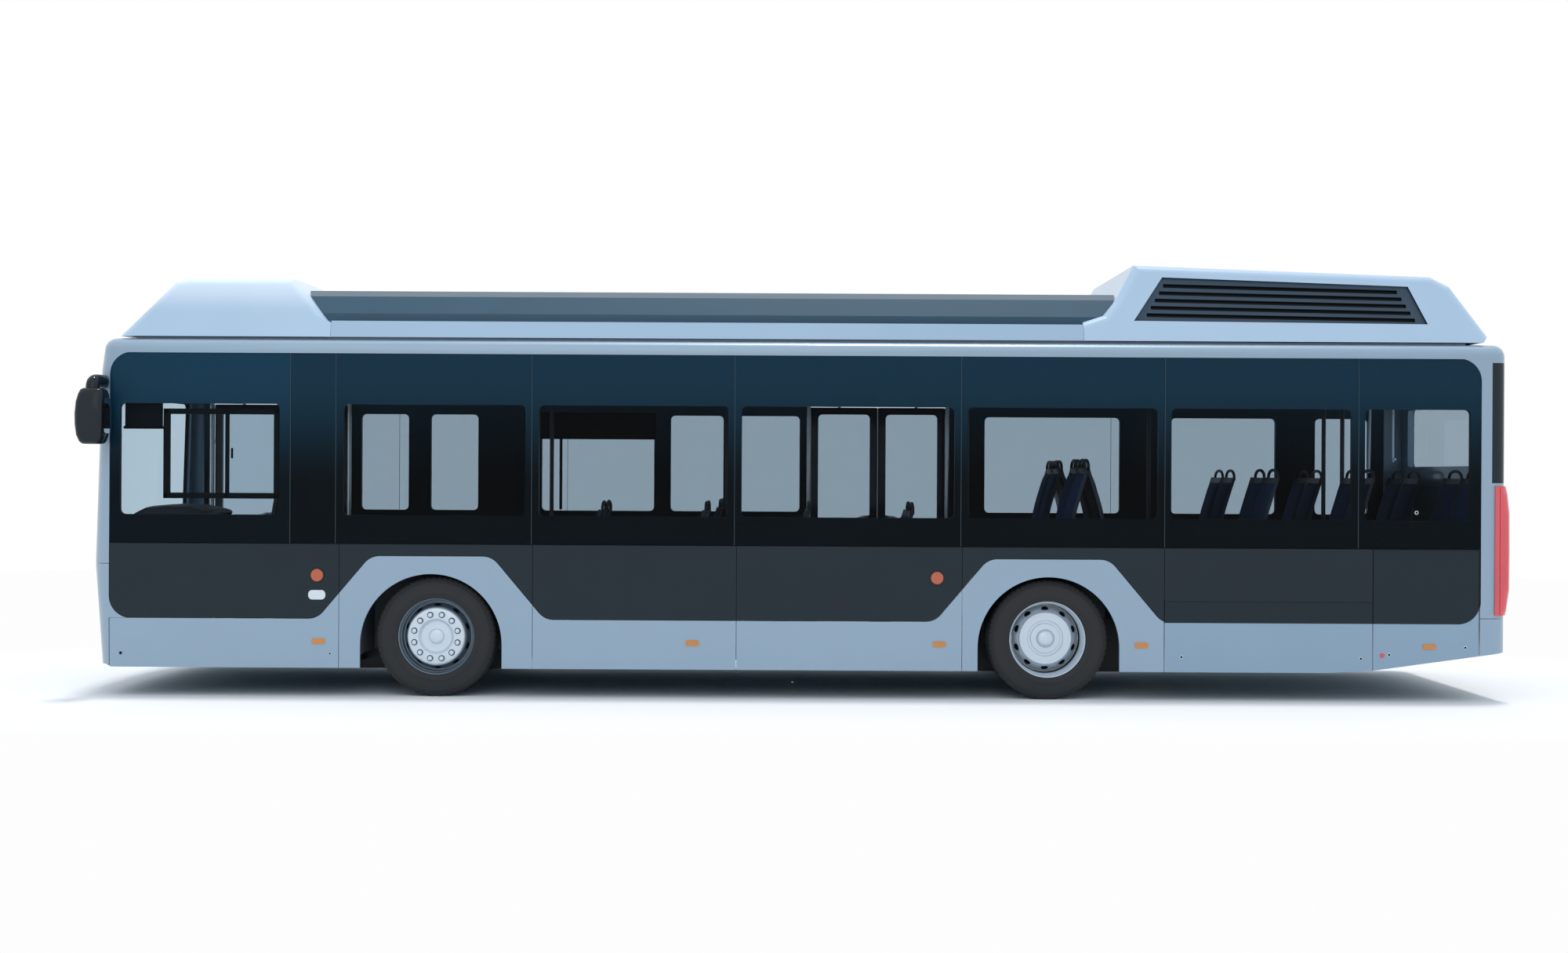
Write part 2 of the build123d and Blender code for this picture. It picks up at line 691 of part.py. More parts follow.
def vault_section(inset):
    base = VAULT_BASE_HALF - inset
    right = [(base, PLINTH_Z)] + [(y - inset, z - inset * 0.9) for y, z in VAULT_SHOULDER]
    left = [(-y, z) for y, z in reversed(right)]
    face = outline((*right, *left))
    return end_prism(face, VAULT_X[0], VAULT_X[1])


def tank_cover():
    cover = vault_section(0) - vault_section(COVER_SHELL)
    return (cover - pod_keepout(FRONT_POD) - pod_keepout(REAR_POD)).solids()


def tank_pack():
    tanks = []
    for y in TANK_ROWS_Y:
        length = TANK_X[1] - TANK_X[0]
        middle = Pos((TANK_X[0] + TANK_X[1]) / 2, y, PLINTH_Z + TANK_R - 20.0)
        tank = middle * Rot(0, 90, 0) * Cylinder(TANK_R - 20.0, length)
        tanks.append(tank)
    return solids(tanks)


# Floor plates, risers and wheel boxes, each seated on its neighbour
def wheel_box(axle_x, half, z_from):
    outer_y = HALF_WIDTH - WALL - JOINT
    x = (axle_x - half + JOINT, axle_x + half - JOINT)
    inner_y = BOX_INNER_Y + JOINT
    outer = block(x, (inner_y, outer_y), (z_from, BOX_TOP_Z))
    hollow = block((x[0] + BOX_WALL, x[1] - BOX_WALL), (inner_y + BOX_WALL, outer_y + 1),
                   (z_from - 1, BOX_TOP_Z - BOX_WALL))
    return outer - hollow


def wheel_space(axle_x, half):
    space = block((axle_x - half, axle_x + half), (BOX_INNER_Y, FAR), (0, BOX_TOP_Z))
    return space + mirror(space, about=Plane.XZ)


def floor_deck():
    low_y = HALF_WIDTH - PANEL - JOINT
    high_y = HALF_WIDTH - WALL - JOINT
    low_deck_z = FLOOR_Z - FLOOR_THICK
    platform_z = PLATFORM_Z - PLATFORM_THICK
    bench_z = BENCH_DECK_Z - BENCH_THICK
    low_deck = block((-FAR, STEP_X), (-low_y, low_y), (low_deck_z, FLOOR_Z)) & envelope(PANEL + 2 * JOINT)
    plates = [low_deck - wheel_space(FRONT_AXLE_X, BOX_HALF) - wheel_space(REAR_AXLE_X, REAR_BOX_HALF)]
    for x0, x1, z0, z1 in (
        # x from, x to, z from, z to
        (STEP_X - RISER, STEP_X, FLOOR_Z + JOINT, platform_z - JOINT),
        (STEP_X - RISER, BENCH_X, platform_z, PLATFORM_Z),
        (BENCH_X - RISER, BENCH_X, PLATFORM_Z + JOINT, bench_z - JOINT),
        (BENCH_X - RISER, BENCH_REAR_X, bench_z, BENCH_DECK_Z),
    ):
        plates.append(block((x0, x1), (-high_y, high_y), (z0, z1)) - wheel_space(REAR_AXLE_X, REAR_BOX_HALF))
    plates += pair(wheel_box(FRONT_AXLE_X, BOX_HALF, low_deck_z))
    plates += pair(wheel_box(REAR_AXLE_X, REAR_BOX_HALF, platform_z))
    plates.append(block(CAB_STEP_X, CAB_STEP_Y, (FLOOR_Z + JOINT, CAB_STEP_Z)))
    return solids(plates)


# Underframe: three ladders with outriggers to the skirts, and a towing eye under each end
def underframe():
    ladders = []
    inside = envelope(PANEL + 2 * JOINT) & block((-FAR, TAIL_X - WALL - JOINT), (-FAR, FAR), (0, FAR))
    for x0, x1, z0, top, count, reach in FRAME_ROWS:
        z = (z0, top - JOINT)
        reach_x = (x0 - FAR if x0 == FRAME_ROWS[0][0] else x0, x1 + FAR if x1 == FRAME_ROWS[-1][1] else x1)
        rails = [block(reach_x, (side * RAIL_Y - RAIL_HALF, side * RAIL_Y + RAIL_HALF), z) for side in (-1, 1)]
        ladder = rails[0] + rails[1]
        for number in range(count):
            x = x0 + CROSS_HALF + number * (x1 - x0 - 2 * CROSS_HALF) / (count - 1)
            near_wheel = abs(x - REAR_AXLE_X) < REAR_BOX_HALF + CROSS_HALF
            half = RAIL_Y + RAIL_HALF if near_wheel else reach - JOINT
            ladder = ladder + block((x - CROSS_HALF, x + CROSS_HALF), (-half, half), z)
        ladders.append(ladder & inside)
    return solids(ladders)


def towing_eyes():
    eyes = []
    for x, z in TOWING_EYES:
        plate = block((x - EYE_HALF, x + EYE_HALF), (-EYE_HALF, EYE_HALF), (z, z + EYE_THICK))
        eyes.append(plate - Pos(x, 0, z) * Cylinder(EYE_R, 3 * EYE_THICK))
    return solids(eyes)


# Axles, steering knuckles and wheels
def front_axle():
    beam_top = FLOOR_Z - FLOOR_THICK - 15.0
    riser_y = (KINGPIN_Y - 175.0, KINGPIN_Y - 105.0)
    beam = block((FRONT_AXLE_X - 55.0, FRONT_AXLE_X + 55.0), (-riser_y[1], riser_y[1]), (beam_top - 75.0, beam_top))
    axle = beam
    for side in (-1, 1):
        riser = block((FRONT_AXLE_X - 50.0, FRONT_AXLE_X + 50.0), sorted((side * riser_y[0], side * riser_y[1])),
                      (beam_top - 75.0, TYRE_R + 55.0))
        link = block((FRONT_AXLE_X - 40.0, FRONT_AXLE_X + 40.0), sorted((side * (riser_y[1] - 30.0), side * KINGPIN_Y)),
                     (TYRE_R - 55.0, TYRE_R + 55.0))
        boss = Pos(FRONT_AXLE_X, side * KINGPIN_Y, TYRE_R) * Cylinder(BOSS_R, 110.0)
        axle = axle + riser + link + boss
        axle = axle - Pos(FRONT_AXLE_X, side * KINGPIN_Y, TYRE_R) * Cylinder(KINGPIN_R + JOINT, 200.0)
        pad = Pos(FRONT_AXLE_X, side * RAIL_Y, FLOOR_Z - FLOOR_THICK - 8.0) * Cylinder(90.0, 15.4)
        axle = axle + pad
    return axle.solids()


def knuckle(side):
    centre = Pos(FRONT_AXLE_X, side * KINGPIN_Y, TYRE_R)
    piece = centre * Cylinder(KINGPIN_R, 200.0)
    for rise in (-1, 1):
        piece = piece + centre * Pos(0, 0, rise * 78.0) * Cylinder(BOSS_R - 5.0, 44.0)
        arm = block((FRONT_AXLE_X - 40.0, FRONT_AXLE_X + 40.0),
                    sorted((side * KINGPIN_Y, side * (KINGPIN_Y + 92.0))),
                    sorted((TYRE_R + rise * 56.0, TYRE_R + rise * 100.0)))
        piece = piece + arm
    web = block((FRONT_AXLE_X - 60.0, FRONT_AXLE_X + 60.0),
                sorted((side * (KINGPIN_Y + 62.0), side * (KINGPIN_Y + 92.0))), (TYRE_R - 100.0, TYRE_R + 100.0))
    spindle_end = WHEEL_Y + 60.0
    spindle_y = (KINGPIN_Y + 80.0 + spindle_end) / 2
    spindle = Pos(FRONT_AXLE_X, side * spindle_y, TYRE_R) * Rot(90, 0, 0)
    return (piece + web + spindle * Cylinder(SPINDLE_R, spindle_end - KINGPIN_Y - 80.0)).solids()


def rear_axle():
    tube = Pos(REAR_AXLE_X, 0, TYRE_R) * Rot(90, 0, 0) * Cylinder(REAR_SPINDLE_R, 2 * WHEEL_Y - 60.0)
    sleeve = WHEEL_Y - TWIN_PITCH - TYRE_WIDTH / 2 - 40.0
    tube = tube + Pos(REAR_AXLE_X, 0, TYRE_R) * Rot(90, 0, 0) * Cylinder(78.0, 2 * sleeve)
    tube = tube + Pos(REAR_AXLE_X + 60.0, 0, TYRE_R - 10.0) * Rot(0, 90, 0) * Cylinder(120.0, 330.0)
    for side in (-1, 1):
        bolster = block((REAR_AXLE_X - 60.0, REAR_AXLE_X + 60.0),
                        (side * RAIL_Y - RAIL_HALF, side * RAIL_Y + RAIL_HALF), (TYRE_R, HIGH_RAIL_Z - JOINT))
        tube = tube + bolster
    return tube.solids()


def traction_motor():
    motor = Pos(REAR_AXLE_X + MOTOR_BACK, 0, TYRE_R - 20.0) * Rot(0, 90, 0) * Cylinder(140.0, 760.0)
    half = RAIL_Y - RAIL_HALF - JOINT
    mount = block((REAR_AXLE_X + MOTOR_BACK - 200.0, REAR_AXLE_X + MOTOR_BACK + 200.0), (-half, half),
                  (HIGH_RAIL_Z, PLATFORM_Z - PLATFORM_THICK - JOINT))
    return (motor + mount).solids()


def fuel_cell_block():
    return block((BENCH_X + 30.0, TAIL_X - HATCH_THICK - 40.0), (-HATCH_HALF_Y + 40.0, HATCH_HALF_Y - 40.0),
                 (PLATFORM_Z - PLATFORM_THICK, BENCH_DECK_Z - BENCH_THICK - JOINT)).solids()


TYRE_PROFILE = (
    # radius, offset from the tyre's middle as a share of half its width
    (RIM_R, -0.84),
    (395.0, -1.0),
    (TYRE_R, -0.82),
    (TYRE_R, 0.82),
    (395.0, 1.0),
    (RIM_R, 0.84),
)
FRONT_RIM_PROFILE = (
    # radius, offset outward from the tyre's middle
    (SPINDLE_R + JOINT, 0.0),
    (SPINDLE_R + JOINT, 62.0),
    (0.0, 62.0),
    (0.0, 112.0),
    (48.0, 105.0),
    (60.0, 90.0),
    (116.0, 90.0),
    (136.0, 118.0),
    (206.0, 118.0),
    (221.0, 106.0),
    (226.0, 76.0),
    (254.0, 22.0),
    (268.0, 16.0),
    (277.0, 84.0),
    (284.0, 104.0),
    (RIM_R - JOINT, RIM_WIDTH / 2),
    (RIM_R - JOINT, -RIM_WIDTH / 2),
    (270.0, -RIM_WIDTH / 2),
    (258.0, -8.0),
    (240.0, 4.0),
    (212.0, 60.0),
    (110.0, 60.0),
    (80.0, 0.0),
)
REAR_RIM_PROFILE = (
    # radius, offset outward from the outer tyre's middle
    (REAR_SPINDLE_R + JOINT, -TWIN_PITCH / 2 - 20.0),
    (REAR_SPINDLE_R + JOINT, -26.0),
    (0.0, -26.0),
    (0.0, 24.0),
    (56.0, 14.0),
    (68.5, -12.0),
    (114.0, -14.0),
    (116.0, -24.0),
    (136.0, -24.0),
    (138.0, -14.0),
    (202.0, -16.0),
    (208.0, -34.0),
    (254.0, -70.0),
    (267.0, -66.0),
    (277.0, 70.0),
    (284.0, 100.0),
    (RIM_R - JOINT, RIM_WIDTH / 2),
    (RIM_R - JOINT, -TWIN_PITCH - RIM_WIDTH / 2),
    (270.0, -TWIN_PITCH - RIM_WIDTH / 2),
    (256.0, -TWIN_PITCH / 2 - 20.0),
)
HAND_HOLES = 10
HAND_HOLE = (64.0, 28.0)
HAND_HOLE_R = (242.0, 232.0)


def spun(points):
    return revolve(outline(points), Axis.Y)


def placed(piece, axle_x, side):
    piece = Pos(axle_x, WHEEL_Y, TYRE_R) * piece
    return piece if side > 0 else mirror(piece, about=Plane.XZ)


def tyres(axle_x, side, offsets):
    half = TYRE_WIDTH / 2
    tyre = spun([(radius, share * half) for radius, share in TYRE_PROFILE])
    return solids([placed(Pos(0, -shift, 0) * tyre, axle_x, side) for shift in offsets])


def rim(axle_x, side, profile, hole_r):
    piece = spun(profile)
    face = Pos(hole_r, 0) * Rot(0, 0, 90) * SlotOverall(*HAND_HOLE)
    hole = side_prism(face, -FAR / 2, FAR / 2)
    for number in range(HAND_HOLES):
        piece = piece - Rot(0, 360.0 * number / HAND_HOLES, 0) * hole
    return placed(piece, axle_x, side).solids()


# Doors: boxes over the doorways, turning pillars with arms, and leaves hung on the arms
def door_headers():
    inside = envelope(WALL + JOINT)
    headers = []
    for centre_x in DOOR_CENTRES_X:
        x0, x1 = door_edges(centre_x)
        box = block((x0 - HEADER_REACH, x1 + HEADER_REACH), (HALF_WIDTH - HEADER_DEPTH, HALF_WIDTH),
                    (DOOR_TOP_Z, BAND_TOP_Z))
        headers.append(box & inside)
    return solids(headers)


def leaf_hinge(centre_x, hand):
    edge = centre_x + hand * (DOOR_WIDTH / 2 - DOOR_EDGE_GAP)
    return edge, edge - hand * HINGE_IN


def door_pillar(centre_x, hand):
    edge, hinge_x = leaf_hinge(centre_x, hand)
    hinge_y = HALF_WIDTH - HINGE_BACK
    pillar_x = hinge_x + hand * ARM_RUN
    pillar_y = HALF_WIDTH - PILLAR_BACK
    length = DOOR_TOP_Z - FLOOR_Z - 2 * JOINT
    piece = Pos(pillar_x, pillar_y, FLOOR_Z + JOINT + length / 2) * Cylinder(PILLAR_R, length)
    turn = math.degrees(math.atan2(hinge_y - pillar_y, hinge_x - pillar_x))
    for z in ARM_ROWS_Z:
        middle = Pos((pillar_x + hinge_x) / 2, (pillar_y + hinge_y) / 2, z)
        piece = piece + extrude(middle * Rot(0, 0, turn) * SlotCenterToCenter(ARM, 2 * LUG_R), ARM_THICK)
        piece = piece - Pos(hinge_x, hinge_y, z) * Cylinder(DOOR_PIN_R + JOINT, 3 * ARM_THICK)
    return piece.solids()


def door_leaf(centre_x, hand):
    edge, hinge_x = leaf_hinge(centre_x, hand)
    hinge_y = HALF_WIDTH - HINGE_BACK
    x = sorted((edge, edge - hand * LEAF_WIDTH))
    frame = block(x, (HALF_WIDTH - LEAF_THICK, HALF_WIDTH), LEAF_Z)
    hole_x = (x[0] + LEAF_BORDER, x[1] - LEAF_BORDER)
    hole_z = (LEAF_PANE_LOW_Z, LEAF_Z[1] - LEAF_BORDER)
    frame = frame - side_prism(rectangle(hole_x, hole_z, WINDOW_R), 0, FAR)
    for end_z, rise in zip(LEAF_Z, (-1, 1)):
        hinge = Pos(hinge_x, hinge_y, end_z)
        collar = SWING_GAP - JOINT
        frame = frame + hinge * Pos(0, 0, rise * collar / 2) * Cylinder(COLLAR_R, collar)
        frame = frame + hinge * Pos(0, 0, rise * (SWING_GAP + ARM_THICK) / 2) * Cylinder(DOOR_PIN_R, SWING_GAP + ARM_THICK)
    pane = side_prism(rectangle((hole_x[0] + JOINT, hole_x[1] - JOINT), (hole_z[0] + JOINT, hole_z[1] - JOINT),
                                WINDOW_R), HALF_WIDTH - SKIN - 4.0, HALF_WIDTH - 4.0)
    return solids([frame, pane])


# Cab
DRIVER_Y = -HALF_WIDTH + 550.0


def driver_seat():
    base = block((-4460.0, -4180.0), (DRIVER_Y - 140.0, DRIVER_Y + 140.0), (CAB_STEP_Z + JOINT, 900.0))
    cushion = block((-4580.0, -4090.0), (DRIVER_Y - 250.0, DRIVER_Y + 250.0), (900.0, 1010.0))
    back = side_prism(outline(((-4180.0, 1000.0), (-4080.0, 1000.0), (-3990.0, 1640.0), (-4060.0, 1640.0))),
                      DRIVER_Y - 240.0, DRIVER_Y + 240.0)
    return (base + cushion + back).solids()


DASH_PROFILE = (
    # x, z
    (-5150.0, FLOOR_Z + JOINT),
    (-5190.0, 1010.0),
    (-5120.0, 1110.0),
    (-4860.0, 1090.0),
    (-4780.0, 1010.0),
    (-4960.0, 930.0),
    (-4960.0, FLOOR_Z + JOINT),
)
DASH_Y = (-HALF_WIDTH + 150.0, 180.0)
STEERING_AXIS = ((-4920.0, DRIVER_Y, 1060.0), (-4700.0, DRIVER_Y, 1250.0))
STEERING_R = 225.0
STEERING_GRIP = 16.0


def dashboard():
    return side_prism(outline(DASH_PROFILE), DASH_Y[0], DASH_Y[1]).solids()


def steering_wheel():
    foot, top = [Vector(*point) for point in STEERING_AXIS]
    plane = Plane(origin=top, z_dir=top - foot)
    ring = plane * Torus(STEERING_R, STEERING_GRIP)
    column = extrude(plane * Circle(24.0), -(top - foot).length + 40.0)
    spoke = plane * Box(2 * STEERING_R, 40.0, 16.0)
    hub = extrude(plane * Circle(70.0), 14.0)
    dash = side_prism(offset(outline(DASH_PROFILE), JOINT), DASH_Y[0], DASH_Y[1])
    return [(ring + column + spoke + hub - dash).solids().sort_by(SortBy.VOLUME)[-1]]


def cab_partition():
    y = (-HALF_WIDTH + WALL + JOINT, -380.0)
    plate = block((-3890.0, -3860.0), y, (FLOOR_Z + JOINT, 2250.0))
    return (plate - end_prism(rectangle((-HALF_WIDTH + 170.0, -480.0), (1280.0, 2120.0), WINDOW_R), -FAR, FAR)).solids()


# Saloon
def passenger_seats():
    pieces = []
    for x, y, floor_z, top_z, way in SEAT_ROWS:
        front = x + way * SEAT_DEPTH
        half = SEAT_WIDTH / 2
        cushion = block(sorted((front, x + way * CUSHION_BACK)), (y - half, y + half), (top_z - CUSHION_THICK, top_z))
        cushion = fillet(cushion.edges().filter_by(Axis.Y), 25.0)
        if top_z - CUSHION_THICK - floor_z > 5.0:
            stem = block(sorted((x + way * 60.0, x + way * 220.0)), (y - 60.0, y + 60.0),
                         (floor_z + JOINT, top_z - CUSHION_THICK + 1.0))
            cushion = cushion + stem
        faces = []
        for column in (1, 2):
            faces.append([(x + way * (row[column] - JOINT), top_z + row[0]) for row in BACK_CURVE])
        edges = [Spline(*faces[0]), Line(faces[0][-1], faces[1][-1]), Spline(*faces[1]), Line(faces[1][0], faces[0][0])]
        back = side_prism(make_face(edges), y - half, y + half)
        pieces += [cushion, back]
    return solids(pieces)


def grab_poles():
    poles = []
    top = ROOF_Z - ROOF_THICK - JOINT
    for x, y, floor_z in POLES:
        length = top - floor_z - JOINT
        poles.append(Pos(x, y, floor_z + JOINT + length / 2) * Cylinder(POLE_R, length))
    return solids(poles)


# Small fittings
MIRROR_X = (-5494.0, -5256.0)
MIRROR_Y = (HALF_WIDTH + 40.0, HALF_WIDTH + 270.0)
MIRROR_Z = (1946.0, 2330.0)
MIRROR_R = 55.0
MIRROR_ARM = (
    # x, y, z
    (-5392.0, HALF_WIDTH + 150.0, 2300.0),
    (-5384.0, HALF_WIDTH + 140.0, 2432.0),
    (-5300.0, HALF_WIDTH - 50.0, 2462.0),
)
MIRROR_ARM_R = 36.0


def rod(start, end, radius):
    axis = Vector(*end) - Vector(*start)
    return extrude(Plane(origin=start, z_dir=axis) * Circle(radius), axis.length)


def mirrors():
    head = fillet(block(MIRROR_X, MIRROR_Y, MIRROR_Z).edges(), MIRROR_R)
    for start, end in zip(MIRROR_ARM, MIRROR_ARM[1:]):
        head = head + rod(start, end, MIRROR_ARM_R) + Pos(*end) * Sphere(MIRROR_ARM_R)
    head = head - envelope(-JOINT)
    return solids(pair(head.solids().sort_by(SortBy.VOLUME)[-1]))


def side_lamps():
    lamps = []
    for x, z in MARKERS:
        face = rectangle((x - MARKER_HALF[0], x + MARKER_HALF[0]), (z - MARKER_HALF[1], z + MARKER_HALF[1]), 12.0)
        lamps += pair(side_prism(face, HALF_WIDTH, HALF_WIDTH + MARKER_PROUD))
    for x, z, radius in ROUND_LAMPS:
        lamps += pair(side_prism(Pos(x, z) * Circle(radius), HALF_WIDTH, HALF_WIDTH + MARKER_PROUD))
    x, z = CLEAR_LAMP
    face = rectangle((x - CLEAR_LAMP_HALF[0], x + CLEAR_LAMP_HALF[0]),
                     (z - CLEAR_LAMP_HALF[1], z + CLEAR_LAMP_HALF[1]), 30.0)
    lamps += pair(side_prism(face, HALF_WIDTH, HALF_WIDTH + MARKER_PROUD))
    clear_of_doors = []
    for lamp in solids(lamps):
        middle = lamp.center()
        at_door = any(door_edges(x)[0] < middle.X < door_edges(x)[1] for x in DOOR_CENTRES_X)
        if middle.Y < 0 or not at_door:
            clear_of_doors.append(lamp)
    return clear_of_doors


NODES = {
    "underframe": underframe(),
    "towing_eyes": towing_eyes(),
    "floor_deck": floor_deck(),
    "side_frames": side_frames(),
    "roof_panel": roof_panel(),
    "front_mask": front_mask(),
    "windscreen": windscreen(),
    "front_bumper": front_bumper(),
    "headlamps": headlamps(),
    "mirrors": mirrors(),
    "rear_wall": rear_wall(),
    "rear_window": rear_window(),
    "rear_lamps": rear_lamps(),
    "rear_bumper": rear_bumper(),
    "rear_hatch": rear_hatch(),
    "side_glazing": side_glazing(),
    "band_panels": band_panels(),
    "skirt_panels": skirt_panels(),
    "side_lamps": side_lamps(),
    "front_roof_pod": front_roof_pod(),
    "tank_cover": tank_cover(),
    "roof_strips": roof_strips(),
    "rear_roof_pod": rear_roof_pod(),
    "tank_pack": tank_pack(),
    "driver_seat": driver_seat(),
    "dashboard": dashboard(),
    "steering_wheel": steering_wheel(),
    "cab_partition": cab_partition(),
    "passenger_seats": passenger_seats(),
    "grab_poles": grab_poles(),
    "door_headers": door_headers(),
    "front_axle": front_axle(),
    "rear_axle": rear_axle(),
    "traction_motor": traction_motor(),
    "fuel_cell_block": fuel_cell_block(),
}
for word, side in (("left", -1), ("right", 1)):
    NODES[word + "_knuckle"] = knuckle(side)
    NODES[word + "_front_tyre"] = tyres(FRONT_AXLE_X, side, (0.0,))
    NODES[word + "_front_rim"] = rim(FRONT_AXLE_X, side, FRONT_RIM_PROFILE, HAND_HOLE_R[0])
    NODES[word + "_rear_tyres"] = tyres(REAR_AXLE_X, side, (0.0, TWIN_PITCH))
    NODES[word + "_rear_rim"] = rim(REAR_AXLE_X, side, REAR_RIM_PROFILE, HAND_HOLE_R[1])
    for row in FLAP_ROWS:
        NODES[word + "_" + row[0]] = side_flap(row, side)
for number, centre_x in enumerate(DOOR_CENTRES_X, 1):
    for word, hand in (("fore", -1), ("aft", 1)):
        NODES[f"door{number}_{word}_pillar"] = door_pillar(centre_x, hand)
        NODES[f"door{number}_{word}_leaf"] = door_leaf(centre_x, hand)

os.makedirs("parts", exist_ok=True)
for name, pieces in NODES.items():
    shape = pieces[0] if len(pieces) == 1 else Compound(children=list(pieces))
    shape.label = name
    export_step(shape, f"parts/{name}.step")
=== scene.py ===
import math

import bmesh
import bpy
from mathutils import Matrix, Vector


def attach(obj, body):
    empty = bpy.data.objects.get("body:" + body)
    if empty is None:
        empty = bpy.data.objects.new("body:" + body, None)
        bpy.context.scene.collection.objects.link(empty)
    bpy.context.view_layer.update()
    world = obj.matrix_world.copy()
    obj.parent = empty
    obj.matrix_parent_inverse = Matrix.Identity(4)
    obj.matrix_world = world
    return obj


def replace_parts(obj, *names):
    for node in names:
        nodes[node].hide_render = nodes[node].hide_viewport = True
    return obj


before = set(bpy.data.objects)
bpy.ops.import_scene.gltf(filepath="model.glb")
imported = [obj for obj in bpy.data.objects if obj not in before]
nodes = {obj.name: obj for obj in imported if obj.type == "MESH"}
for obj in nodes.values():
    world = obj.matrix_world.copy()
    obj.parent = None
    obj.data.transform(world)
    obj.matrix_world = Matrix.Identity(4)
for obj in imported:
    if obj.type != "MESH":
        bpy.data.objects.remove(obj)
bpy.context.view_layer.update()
SIDES = (("left", -1), ("right", 1))

# Main sizes in metres, as in the part's source
HALF_WIDTH = 1.25
WALL = 0.055
FRONT_AXLE_X = -2.745
REAR_AXLE_X = 1.953
TYRE_R = 0.46
WHEEL_Y = 1.074
TWIN_PITCH = 0.312
BELT_Z = 0.598
BAND_REAR_X = 5.256
BAND_R = 0.17
FLOOR_Z = 0.345
PLATFORM_Z = 0.62
BENCH_DECK_Z = 0.95
BOX_TOP_Z = 1.01
CEILING_Z = 2.695
CAB_STEP_Z = 0.52
CAB_REAR_X = -3.858
PANE_Z = (1.172, 2.628)
DOOR_CENTRES_X = (-4.552, 0.755)
DOOR_WIDTH = 1.216
LEAF_EDGE = 0.592
LEAF_WIDTH = 0.583
LEAF_THICK = 0.036
LEAF_Z = (0.376, 2.319)


# Materials
class Net:
    """Nodes and links of one material or world."""

    def __init__(self, owner):
        owner.use_nodes = True
        self.nodes = owner.node_tree.nodes
        self.links = owner.node_tree.links

    def add(self, kind):
        return self.nodes.new("ShaderNode" + kind)

    # Set a socket to a number or colour, or link it to another node's output
    def put(self, value, socket):
        if isinstance(value, bpy.types.NodeSocket):
            self.links.new(value, socket)
        else:
            socket.default_value = (*value, 1.0) if isinstance(value, tuple) else value

    def math(self, operation, *values):
        node = self.add("Math")
        node.operation = operation
        for value, socket in zip(values, node.inputs):
            self.put(value, socket)
        return node.outputs[0]

    def place(self, space="Object"):
        return self.add("TexCoord").outputs[space]

    def axes(self, space="Object"):
        split = self.add("SeparateXYZ")
        self.put(self.place(space), split.inputs[0])
        return split.outputs

    def noise(self, scale, detail=3.0):
        noise = self.add("TexNoise")
        for value, name in ((scale, "Scale"), (detail, "Detail"), (self.place(), "Vector")):
            self.put(value, noise.inputs[name])
        return noise.outputs["Fac"]

    def bump(self, height, strength, distance):
        relief = self.add("Bump")
        for value, name in ((height, "Height"), (strength, "Strength"), (distance, "Distance")):
            self.put(value, relief.inputs[name])
        return relief.outputs["Normal"]

    def color_mix(self, factor, first, second):
        mix = self.add("Mix")
        mix.data_type = "RGBA"
        for value, name in ((factor, "Factor"), (first, "A"), (second, "B")):
            self.put(value, mix.inputs[name])
        return mix.outputs["Result"]

    def shader_mix(self, factor, first, second):
        mix = self.add("MixShader")
        for value, socket in zip((factor, first, second), mix.inputs):
            self.put(value, socket)
        return mix.outputs[0]

    def smooth_share(self, value, low, high):
        share = self.add("MapRange")
        share.interpolation_type = "SMOOTHSTEP"
        for given, name in ((value, "Value"), (low, "From Min"), (high, "From Max")):
            self.put(given, share.inputs[name])
        return share.outputs[0]

    # Square of how far a point lies past a corner, from how far it is past each of two sides
    def overreach(self, first, second):
        squares = [self.math("POWER", self.math("MAXIMUM", past, 0.0), 2.0) for past in (first, second)]
        return self.math("ADD", *squares)


def new_material(name):
    material = bpy.data.materials.new(name)
    return material, Net(material)


COAT_ROUGHNESS = 0.06
GRAIN_DEPTH = 0.001
WHITE = (1.0, 1.0, 1.0)


def finish(name, color, roughness, metallic=0.0, coat=0.0, grain=300.0, bump=0.05, mottle=0.06, specular=0.5):
    material, net = new_material(name)
    shader = net.nodes["Principled BSDF"].inputs
    patches = net.noise(3.0, 5.0)
    tones = [tuple(part * share for part in color) for share in (1 - mottle, 1 + mottle)]
    for value, socket in (
        (metallic, "Metallic"),
        (coat, "Coat Weight"),
        (COAT_ROUGHNESS, "Coat Roughness"),
        (specular, "Specular IOR Level"),
        (net.color_mix(patches, *tones), "Base Color"),
        (net.math("MULTIPLY_ADD", patches, roughness * 0.3, roughness * 0.85), "Roughness"),
        (net.bump(net.noise(grain), bump, GRAIN_DEPTH), "Normal"),
    ):
        net.put(value, shader[socket])
    return material


# Painted light: paint that takes on another colour with height, standing in for the sky's light on the upper
# parts
def paint_light_by_height(material, heights, color):
    net = Net(material)
    paint = net.nodes["Principled BSDF"].inputs["Base Color"]
    share = net.smooth_share(net.axes()["Z"], *heights)
    net.put(net.color_mix(share, paint.links[0].from_socket, color), paint)
    return material


GLASS_IOR = 1.16


# Clear pane: tint and shine both sit on the face that light enters by
def glass(name, tint):
    material, net = new_material(name)
    net.nodes.remove(net.nodes["Principled BSDF"])
    clear = net.add("BsdfTransparent")
    shine = net.add("BsdfGlossy")
    edge = net.add("Fresnel")
    entered = net.math("SUBTRACT", 1.0, net.add("NewGeometry").outputs["Backfacing"])
    net.put(net.color_mix(entered, WHITE, tuple(part**2 for part in tint)), clear.inputs["Color"])
    net.put(0.0, shine.inputs["Roughness"])
    net.put(GLASS_IOR, edge.inputs["IOR"])
    shown = net.math("MULTIPLY", edge.outputs[0], entered)
    pane = net.shader_mix(shown, clear.outputs[0], shine.outputs[0])
    net.put(pane, net.nodes["Material Output"].inputs["Surface"])
    return material


